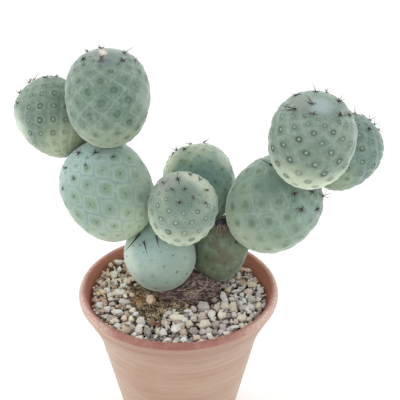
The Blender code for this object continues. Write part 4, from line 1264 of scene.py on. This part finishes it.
# How far tubercles stand out, how deep the lines between them are and how deep an areole sits, in mm. A line
# with a depth below zero stands up as a low ridge
RELIEFS = {
    "left_base": (0.14, 0.02, 0.12),
    "right_base": (0.15, 0.02, 0.10),
    "left_middle": (0.20, 0.05, 0.12),
    "front": (0.45, 0.04, 0.10),
    "left_top": (0.34, -0.14, 0.15),
    "left_outer": (0.34, 0.10, 0.12),
    "back": (0.25, 0.04, 0.10),
    "right_middle": (0.28, 0.05, 0.12),
    "right_top": (0.40, 0.03, 0.30),
    "right_outer": (0.38, 0.06, 0.20),
}
stems = {}
for name, segment in SEGMENTS.items():
    stems[name] = roll_egg(name, segment, *RELIEFS[name], waxy_skin(name, segment, **SKINS[name]))

GROWS_FROM = {
    "left_middle": "left_base",
    "front": "left_base",
    "left_top": "left_middle",
    "left_outer": "left_middle",
    "back": "right_base",
    "right_middle": "right_base",
    "right_top": "right_middle",
    "right_outer": "right_middle",
}
SCAR_GAP = 0.0003


def cut_scar(piece, point, away):
    """Slices a segment flat at a joint, and closes the cut."""
    bm = bmesh.new()
    bm.from_mesh(piece.data)
    cut = bmesh.ops.bisect_plane(
        bm, geom=bm.verts[:] + bm.edges[:] + bm.faces[:], plane_co=point, plane_no=away, clear_outer=True
    )
    rim = [item for item in cut["geom_cut"] if isinstance(item, bmesh.types.BMEdge)]
    bmesh.ops.holes_fill(bm, edges=rim, sides=0)
    bm.to_mesh(piece.data)
    bm.free()


scars = []
for child, carrier in GROWS_FROM.items():
    toward = (SEGMENTS[child].centre - SEGMENTS[carrier].centre).normalized()
    far_side = max(vert.co.dot(toward) for vert in stems[carrier].data.vertices)
    near_side = min(vert.co.dot(toward) for vert in stems[child].data.vertices)
    base = SEGMENTS[carrier].centre
    scars.append((child, carrier, base + toward * ((far_side + near_side) / 2 - base.dot(toward)), toward))
for child, carrier, point, toward in scars:
    cut_scar(stems[child], point + toward * SCAR_GAP / 2, -toward)
    cut_scar(stems[carrier], point - toward * SCAR_GAP / 2, toward)
for piece in stems.values():
    smooth_piece(piece, 60)


# Each areole is a small cushion of felt and barbed hairs, white to cream on the younger segments and
# worn to a dark speck on the older ones. They sit in the pits of the tubercles.
def hairy_stuff(name, fineness, detail, dark, light, sheen):
    """Matted hair, dark between its strands and light on them."""
    hair, tree, shader, place = start_material(name, 0.95)
    colour = tint(tree, cloud(tree, place, fineness, detail), dark, light)
    tree.links.new(colour, shader.inputs["Base Color"])
    shader.inputs["Sheen Weight"].default_value = sheen
    return hair


felt = hairy_stuff("areole_felt", 2500.0, 2.0, paint(140, 144, 118), paint(206, 208, 186), 0.5)
worn_felt = hairy_stuff("worn_areole_felt", 2500.0, 2.0, paint(48, 56, 40), paint(112, 118, 90), 0.0)


def is_free(name, point, clearance):
    """True where a point near one segment stays clear of the others and above the gravel."""
    if point.z < POT_HEIGHT - 0.004:
        return False
    return all(other == name or SEGMENTS[other].distance_outside(point) > clearance for other in SEGMENTS)


def areole_places(segment, highest):
    """Every place where two rows of a segment cross, up to a share of its half length."""
    found = []
    for first_row in range(-segment.first[0] - 6, 2 * segment.first[0] + 6):
        for second_row in range(-segment.second[0] - 6, 2 * segment.second[0] + 6):
            along, heading = segment.crossing(first_row, second_row)
            if not 0.0 <= heading < math.tau or abs(along) > highest:
                continue
            first_shift, second_shift = waver(segment.on_egg(along, heading))
            found.append(segment.crossing(first_row - first_shift, second_row - second_shift))
    return found


def felt_cushions(name, radius, height, material, kept=1.0):
    """A cushion in each areole of a segment that is free, or in a share of them, joined in one piece."""
    segment = SEGMENTS[name]
    draw = random.Random("felt " + name)
    cushions = bmesh.new()
    for along, heading in areole_places(segment, 0.92):
        local = segment.on_egg(along, heading)
        if draw.random() > kept or not is_free(name, segment.to_world(local), 0.0008):
            continue
        size = 1.0 - 0.35 * abs(along)
        rise = (RELIEFS[name][0] - RELIEFS[name][2]) / 1000 * (1.0 - 0.5 * abs(along))
        away = local.normalized()
        shape = Matrix.Diagonal((radius * size, radius * size, height * size, 1.0))
        aim = (segment.turn @ away).to_track_quat("Z", "Y").to_matrix().to_4x4()
        spot = Matrix.Translation(segment.to_world(local + away * rise))
        bmesh.ops.create_icosphere(cushions, subdivisions=1, radius=1.0, matrix=spot @ aim @ shape)
    piece = start_piece("areoles_" + name, cushions, material)
    smooth_piece(piece, 80)
    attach(piece, "root")


for name in ("left_outer", "front", "right_top", "right_outer"):
    felt_cushions(name, 0.00036, 0.00026, felt)
for name in ("left_top", "right_base", "left_middle", "back", "right_middle"):
    felt_cushions(name, 0.00036, 0.00020, worn_felt)
felt_cushions("left_base", 0.00052, 0.00022, worn_felt, kept=0.6)


# The spines are hard dark awls in loose tufts, purple-brown to black with paler roots. Only the areoles
# near each tip bear them. They are fused into one piece per segment and rooted in its skin.
spine_stuff, tree, shader, place = start_material("spine", 0.45)
out_share = add_node(tree, "Attribute", attribute_name="out_share").outputs[2]
colour = tint(tree, ease(tree, out_share, 0.0, 0.35), paint(66, 48, 48), paint(30, 20, 26))
colour = tint(tree, ease(tree, out_share, -0.05, -0.30), colour, paint(164, 148, 146))
colour = wash(tree, colour, ease(tree, cloud(tree, place, 700.0), 0.52, 0.7), 0.35, paint(112, 92, 88))
tree.links.new(colour, shader.inputs["Base Color"])

# Tufts that the photo shows: row, column, and each spine's turn, lift off the skin and length in mm
TUFTS = {
    "left_outer": (
        (7.6, 20.6, (
            (85, 35, 4.4), (-15, 30, 2.3), (45, 35, 3.8), (160, -5, 2.0),
            (-125, -30, 3.9), (-100, -30, 3.9), (155, 30, 2.8), (-25, -20, 2.1),
        )),
        (7.0, 16.7, ((150, 35, 3.7), (20, 5, 1.7), (130, 35, 2.7),)),
        (7.6, 23.4, ((-60, 25, 5.7), (-10, -5, 7.0), (-60, 25, 1.5),)),
        (5.0, 22.5, ((-115, 5, 4.1), (155, 25, 2.3), (120, 35, 1.5), (-40, 35, 1.4),)),
        (4.0, 23.9, ((-70, 35, 1.8), (-120, 0, 2.1),)),
        (4.3, 16.2, ((125, 35, 1.6), (-120, 35, 1.0),)),
    ),
    "left_top": (
        (5.3, 12.3, (
            (165, 35, 2.2), (45, 25, 2.5), (0, -5, 3.5),
            (-50, 15, 3.5), (-30, 0, 4.1), (-130, 35, 2.3),
        )),
        (6.7, 8.1, ((-90, 35, 3.9), (-20, 0, 3.1), (-40, 20, 2.4), (145, 30, 2.3), (65, -10, 2.8),)),
        (6.2, 0.2, ((-35, 35, 6.7), (125, 20, 1.7), (-135, 5, 2.7), (170, -10, 2.9),)),
        (5.2, 18.1, ((-15, 35, 2.6), (175, 35, 2.4), (-150, 10, 2.8), (-105, 30, 3.8), (-170, 15, 3.2),)),
        (4.3, 0.1, ((-20, 35, 1.5), (130, 15, 1.8), (-165, 5, 2.7),)),
        (6.1, 15.2, ((-95, 15, 6.4), (25, 35, 1.3), (-110, 35, 2.0),)),
        (6.1, 9.8, ((-125, 35, 4.3), (-140, 35, 3.0),)),
    ),
    "right_top": (
        (6.2, 7.1, (
            (-80, 35, 5.5), (-80, 35, 3.8), (15, 15, 3.0),
            (140, 20, 1.8), (90, -10, 3.4), (60, -10, 2.9),
        )),
        (6.5, 14.2, ((-175, 35, 4.6), (-175, 35, 3.8), (-125, 35, 4.1), (-100, 35, 3.6), (170, 35, 3.0),)),
        (4.8, 9.8, ((-40, 35, 4.2), (-30, 20, 3.1), (-10, 10, 2.9), (95, 10, 2.4),)),
        (6.0, 2.2, (
            (-45, 35, 4.8), (-100, 35, 3.8), (-160, 25, 3.6),
            (170, 10, 3.2), (95, 15, 2.6), (-10, 35, 1.9),
        )),
        (5.1, 20.9, ((150, 20, 4.1), (170, 10, 5.1), (-65, 35, 2.2), (-145, 30, 2.8), (135, 35, 3.9),)),
        (3.9, 0.4, ((120, 10, 3.3), (-140, 35, 2.1), (140, -5, 3.4), (10, 35, 1.9),)),
        (4.8, 13.2, ((-90, 35, 7.3), (-125, 35, 6.4), (-75, 35, 5.2), (-130, 35, 3.5), (-40, 35, 3.2),)),
        (6.0, 15.9, ((-125, 35, 4.7), (-155, 35, 2.2), (-20, 35, 4.7), (45, 35, 1.8),)),
        (5.4, 5.2, ((-90, 35, 4.1), (-170, 30, 2.2), (-50, 35, 2.3),)),
    ),
    "right_outer": (
        (4.7, 12.3, ((160, 35, 5.2), (-95, 10, 2.9), (-5, 5, 2.4),)),
        (7.4, 13.7, (
            (-155, 0, 6.1), (-155, -5, 5.0), (-50, 35, 5.3),
            (-115, 35, 2.6), (140, -10, 5.4), (25, 15, 1.2),
        )),
        (7.2, 17.4, ((135, 0, 1.2), (-40, 25, 2.9), (20, -20, 3.3),)),
        (3.7, 15.1, ((-105, 10, 3.3), (130, 35, 1.7), (-10, 35, 1.9), (-70, 15, 3.1), (-130, 30, 3.5),)),
        (7.6, 16.1, ((-85, 35, 3.6), (-125, 35, 1.6),)),
    ),
    "right_middle": (
        (4.3, 12.6, ((-110, 35, 7.8), (-140, 35, 2.4), (-65, 35, 3.8), (95, 35, 1.8),)),
        (4.4, 17.4, (
            (-135, 35, 5.1), (-80, 35, 4.4), (-110, 35, 5.1),
            (60, 35, 2.5), (175, 35, 3.1), (-25, 35, 2.3),
        )),
        (3.1, 18.9, ((-165, 25, 6.1), (-100, 35, 3.6), (-30, 35, 2.7), (-140, 35, 5.0), (95, 35, 2.0),)),
        (4.6, 22.8, ((-10, 35, 7.2), (-40, 35, 5.4), (20, 35, 4.2), (130, 0, 4.5),)),
        (3.3, 21.1, ((25, 35, 2.7), (120, 25, 3.4), (-170, 10, 2.8), (-40, 35, 2.4),)),
        (5.9, 20.3, ((35, 35, 2.4), (-105, 35, 2.7), (-145, 10, 4.6), (175, 10, 4.2), (95, 35, 1.8),)),
    ),
    "left_middle": (
        (6.3, 14.4, (
            (-155, 35, 3.5), (125, 35, 2.4), (-100, 15, 4.0),
            (35, 35, 2.4), (-90, 10, 3.3), (-45, 0, 3.5),
        )),
        (4.8, 16.7, (
            (-60, 35, 5.7), (110, 35, 2.1), (-150, 25, 4.0),
            (-145, 25, 5.7), (-80, 25, 3.7), (175, 35, 4.1),
        )),
        (4.5, 12.4, ((-140, 35, 1.4), (20, 15, 2.3), (140, 35, 1.3), (175, 35, 1.8),)),
        (3.8, 15.1, ((75, 35, 1.3), (-135, 35, 1.9), (-70, 30, 2.8), (-5, 35, 1.0),)),
        (2.8, 13.7, ((65, 35, 1.0), (-80, 35, 1.0),)),
        (2.9, 17.5, ((-20, 35, 1.6), (-160, 35, 2.4),)),
        (2.2, 12.1, ((-20, 20, 1.4),)),
    ),
    "back": (
        (4.7, 15.3, ((-140, 35, 4.3), (-20, 20, 5.3), (-90, 5, 3.2), (-45, 0, 2.9), (160, 35, 2.7),)),
        (5.5, 13.0, ((-170, 35, 5.5), (145, 35, 3.9), (-125, 20, 3.3),)),
        (4.4, 13.1, ((-95, 10, 5.1), (-90, 10, 3.2), (-165, 35, 2.7),)),
        (6.3, 20.8, ((-95, 35, 5.5), (-65, 0, 3.1), (-155, 35, 1.7),)),
        (6.9, 14.0, ((-135, 25, 4.6), (-135, 35, 1.2),)),
    ),
    "front": (
        (5.5, 12.3, (
            (-165, 35, 3.9), (95, 35, 1.9), (-15, 15, 2.9),
            (40, 15, 4.2), (-40, 35, 2.3), (20, 5, 4.5),
        )),
        (4.0, 12.7, ((-130, 35, 1.9), (60, 20, 3.4), (5, 10, 2.7),)),
        (5.4, 6.2, ((25, 30, 2.6), (-155, 35, 2.3), (-40, 35, 1.8), (120, 10, 2.6),)),
        (5.4, 18.1, ((-125, 35, 3.5), (25, 35, 1.6), (-170, 35, 2.1), (-95, 30, 2.7),)),
        (5.0, 15.4, ((-145, 35, 1.5), (-85, 35, 2.2), (-10, 25, 2.8),)),
        (3.5, 17.9, ((-170, 35, 3.0), (-135, 35, 2.5), (0, 35, 2.0), (130, 35, 1.5),)),
        (4.6, 20.0, ((75, 35, 1.6), (-140, 35, 2.4), (-45, 35, 1.4),)),
        (4.8, 23.8, ((135, 20, 3.2), (-40, 35, 1.5), (175, 10, 2.7), (-150, 35, 2.1),)),
        (3.3, 21.9, ((-180, 20, 2.8), (15, 35, 1.3),)),
        (5.3, 2.8, ((-100, 35, 1.6), (130, 5, 2.6),)),
    ),
    "left_base": (
        (6.3, 9.8, ((-15, 20, 18.0),)),
        (6.0, 13.1, ((-50, 20, 9.5), (145, 35, 1.3),)),
        (6.3, 16.1, ((-110, 20, 10.0),)),
    ),
    "right_base": (
        (2.6, 14.6, ((-55, 35, 2.5),)),
    ),
}
SPINE_STEPS = 5
SPINE_ROOT_DEPTH = 0.0003
SPINE_TAPER = 0.92
SPINE_BEND = 0.10
# A spine shows shorter in the photo than it is, because its thin tip fades out there
TRUE_LENGTH = 1.12
THINNEST = 0.00019
THICKER_BY_MM = 0.000010
PALE_THICKNESS = 0.00013
DARK = 1.0
PALE = -1.0
# On the sides that the photo hides, only areoles near the tip have spines, and some of those are bare
TIP_FROM = 0.70
BARE_SHARE = 0.35
FACING_AWAY = -0.35
TUFT_SPACING = 0.005
# How many times as thick as usual the spines of some segments are
BOLD = {"right_top": 1.05, "back": 0.85, "front": 0.85, "left_base": 1.3}


def grow_spine(bm, share_layer, root, way, away, length, thick, tinge):
    """One spine: a round awl that starts just under the skin, bends a little and runs to a sharp tip.

    Its share of the way out, which is below zero on a pale one, tells the material where it is.
    """
    step_length = length / SPINE_STEPS
    point = root - way * SPINE_ROOT_DEPTH
    radius = thick
    ring = bmesh.ops.create_circle(bm, cap_ends=True, segments=5, radius=radius)["verts"]
    aim = way.to_track_quat("Z", "Y").to_matrix().to_4x4()
    bmesh.ops.transform(bm, matrix=Matrix.Translation(point) @ aim, verts=ring)
    for corner in ring:
        corner[share_layer] = 0.0
    bm.faces.ensure_lookup_table()
    cap = bm.faces[-1]
    for step in range(SPINE_STEPS):
        bent = (way + away * SPINE_BEND * (step / SPINE_STEPS)).normalized()
        moved = bmesh.ops.extrude_discrete_faces(bm, faces=[cap])["faces"]
        cap = moved[0]
        stride = bent * (step_length + (SPINE_ROOT_DEPTH if step == 0 else 0.0))
        bmesh.ops.translate(bm, verts=list(cap.verts), vec=stride)
        point = point + stride
        wanted = thick * (1.0 - (step + 1) / SPINE_STEPS * SPINE_TAPER)
        here = Matrix.Translation(point)
        bmesh.ops.transform(
            bm, matrix=here @ Matrix.Scale(wanted / radius, 4) @ here.inverted(), verts=list(cap.verts)
        )
        radius = wanted
        for corner in cap.verts:
            corner[share_layer] = tinge * (step + 1) / SPINE_STEPS


def skin_axes(segment, along, heading):
    """A place on the egg in the scene, with the ways round the egg, toward its tip and out of its skin."""
    local = segment.on_egg(along, heading)
    ahead = segment.on_egg(min(0.9999, along + 0.001), heading)
    tipward = (ahead - local).normalized()
    sideways = Vector((-math.sin(heading), math.cos(heading), 0.0))
    away = sideways.cross(tipward)
    return segment.to_world(local), segment.turn @ sideways, segment.turn @ tipward, segment.turn @ away


for name, segment in SEGMENTS.items():
    draw = random.Random(name)
    spines = bmesh.new()
    shares = spines.verts.layers.float.new("out_share")
    tufts = []
    for row, column, directions in TUFTS.get(name, ()):
        along = segment.along_at(row)
        heading = segment.phase + math.tau * column / segment.sides
        # Each of them also has a few short and pale ones, too small to tell apart in the photo
        grown = [(turn, lift, length * TRUE_LENGTH, DARK) for turn, lift, length in directions]
        for number in range(3):
            grown.append((draw.uniform(0, 360), draw.uniform(20, 60), draw.uniform(1.0, 2.4), DARK))
        for number in range(2):
            grown.append((draw.uniform(0, 360), draw.uniform(30, 60), draw.uniform(3.0, 5.0), PALE))
        tufts.append((along, heading, grown))
    seen = [segment.to_world(segment.on_egg(along, heading)) for along, heading, grown in tufts]
    # Only the sides that the photo does not show get tufts of their own
    seen_from = (camera.location - segment.centre).normalized()
    for along, heading in areole_places(segment, 0.94):
        local = segment.on_egg(along, heading)
        spot = segment.to_world(local)
        if along < TIP_FROM or name in ("left_base", "right_base"):
            continue
        if (segment.turn @ local).normalized().dot(seen_from) > FACING_AWAY:
            continue
        if any((spot - other).length < TUFT_SPACING for other in seen) or draw.random() < BARE_SHARE:
            continue
        count = draw.choice((2, 3, 3, 4))
        start = draw.uniform(0, 360)
        grown = []
        for number in range(count):
            turn = start + 360 * number / count + draw.uniform(-30, 30)
            grown.append((turn, draw.uniform(15, 50), draw.uniform(1.5, 4.0), DARK))
        tufts.append((along, heading, grown))
    for along, heading, grown in tufts:
        root, sideways, tipward, away = skin_axes(segment, along, heading)
        for turn, lift, length, tinge in grown:
            turn, lift = math.radians(turn), math.radians(lift)
            flat = sideways * math.cos(turn) + tipward * math.sin(turn)
            way = flat * math.cos(lift) + away * math.sin(lift)
            thick = PALE_THICKNESS
            if tinge == DARK:
                thick = (THINNEST + THICKER_BY_MM * length) * BOLD.get(name, 1.0)
            end = root + way * length / 1000
            if not is_free(name, end, 0.0003) or not is_free(name, root, 0.0003):
                continue
            grow_spine(spines, shares, root, way.normalized(), away, length / 1000, thick, tinge)
    if not spines.verts:
        spines.free()
        continue
    bmesh.ops.recalc_face_normals(spines, faces=spines.faces)
    piece = start_piece("spines_" + name, spines, spine_stuff)
    smooth_piece(piece, 80)
    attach(piece, "root")


# The tip of the left top segment carries a large cushion of pale wool, where a bud or a new segment starts.
# It is soft matted hair that grows out of one areole.
wool_stuff = hairy_stuff("bud_wool", 900.0, 3.0, paint(204, 194, 184), paint(242, 237, 230), 0.6)


def skin_under(name, spot_mm):
    """The place on a segment's skin that lies under a spot, and the way out of the skin there."""
    segment = SEGMENTS[name]
    local = segment.turn.transposed() @ (Vector(spot_mm) / 1000 + RIM_MIDDLE - segment.centre)
    for step in range(6):
        local -= local.normalized() * segment.distance_outside(segment.to_world(local))
    return segment.to_world(local), segment.turn @ local.normalized()


spot, away = skin_under("left_top", (-33.0, 19.1, 112.5))
aim = away.to_track_quat("Z", "Y").to_matrix().to_4x4()
WOOL_HAIRS = 90
wool = bmesh.new()
shape = aim @ Matrix.Diagonal((0.0024, 0.0012, 0.0008, 1.0))
middle = Matrix.Translation(spot + away * 0.0002)
bmesh.ops.create_icosphere(wool, subdivisions=3, radius=1.0, matrix=middle @ shape)
for vert in wool.verts:
    vert.co += away * 0.0004 * noise.noise(vert.co * 1600)
draw = random.Random(31)
for hair in range(WOOL_HAIRS):
    angle, reach = draw.uniform(0, math.tau), math.sqrt(draw.random())
    start = Vector((0.0022 * reach * math.cos(angle), 0.0011 * reach * math.sin(angle), 0.0006))
    lean = Vector((math.cos(angle) * reach, math.sin(angle) * reach, draw.uniform(0.5, 1.2))).normalized()
    points = [start]
    for step in range(3):
        curl = Vector((draw.uniform(-0.5, 0.5), draw.uniform(-0.5, 0.5), -0.25 * step))
        points.append(points[-1] + (lean + curl) * draw.uniform(0.0003, 0.0005))
    lay_fibre(wool, [spot + aim.to_3x3() @ point for point in points], 0.00005, sides=3)
bmesh.ops.recalc_face_normals(wool, faces=wool.faces)
bud_wool = start_piece("bud_wool", wool, wool_stuff)
smooth_piece(bud_wool, 80)
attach(bud_wool, "root")


# Between the right base segment and the one behind it, the old joint has dried to a dark corky scar. Brown
# fibres of dead skin hang down from it over the segment below.
scar_stuff = speckled_stuff("dried_scar", 0.9, "stone_colour", 1200.0, 0.4, paint(40, 28, 30))
scab_tints = (paint(88, 76, 92), paint(70, 58, 70), paint(52, 40, 46), paint(104, 92, 108))
peel_tints = (paint(168, 150, 130), paint(132, 108, 92), paint(84, 54, 46), paint(186, 170, 148))
SCAB_FLAKES = 44
SCAB_FIBRES = 20
draw = random.Random(33)
scab = bmesh.new()
scab_colours = scab.verts.layers.float_color.new("stone_colour")
for flake in range(SCAB_FLAKES):
    spot, away = skin_under("right_base", (draw.uniform(17.4, 24.0), draw.uniform(12.8, 17.5), 27.4))
    if not is_free("right_base", spot + away * 0.0009, 0.0003):
        continue
    half = (draw.uniform(0.0007, 0.0012), draw.uniform(0.0006, 0.0010), draw.uniform(0.0005, 0.0009))
    knock_stone(scab, scab_colours, spot, half, draw.choice(scab_tints), 11, draw)
for strand in range(SCAB_FIBRES):
    across = draw.choice((18.6, 19.3, 21.4, 22.0)) + draw.uniform(-0.5, 0.5)
    points = []
    for step in range(5):
        way = (across + draw.uniform(-0.5, 0.5), 13.5 - 1.6 * step, 27.0 - 1.4 * step)
        spot, away = skin_under("right_base", way)
        points.append(spot + away * (0.00012 if step < 4 else 0.0003))
    points = points[: draw.choice((3, 4, 5))]
    if not all(is_free("right_base", point, 0.0004) for point in points):
        continue
    before = len(scab.verts)
    lay_fibre(scab, points, draw.uniform(0.00009, 0.00018))
    scab.verts.ensure_lookup_table()
    colour = draw.choice(peel_tints)
    for vert in scab.verts[before:]:
        vert[scab_colours] = colour
bmesh.ops.recalc_face_normals(scab, faces=scab.faces)
joint_scar = start_piece("joint_scar", scab, scar_stuff)
smooth_piece(joint_scar, 50)
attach(joint_scar, "root")
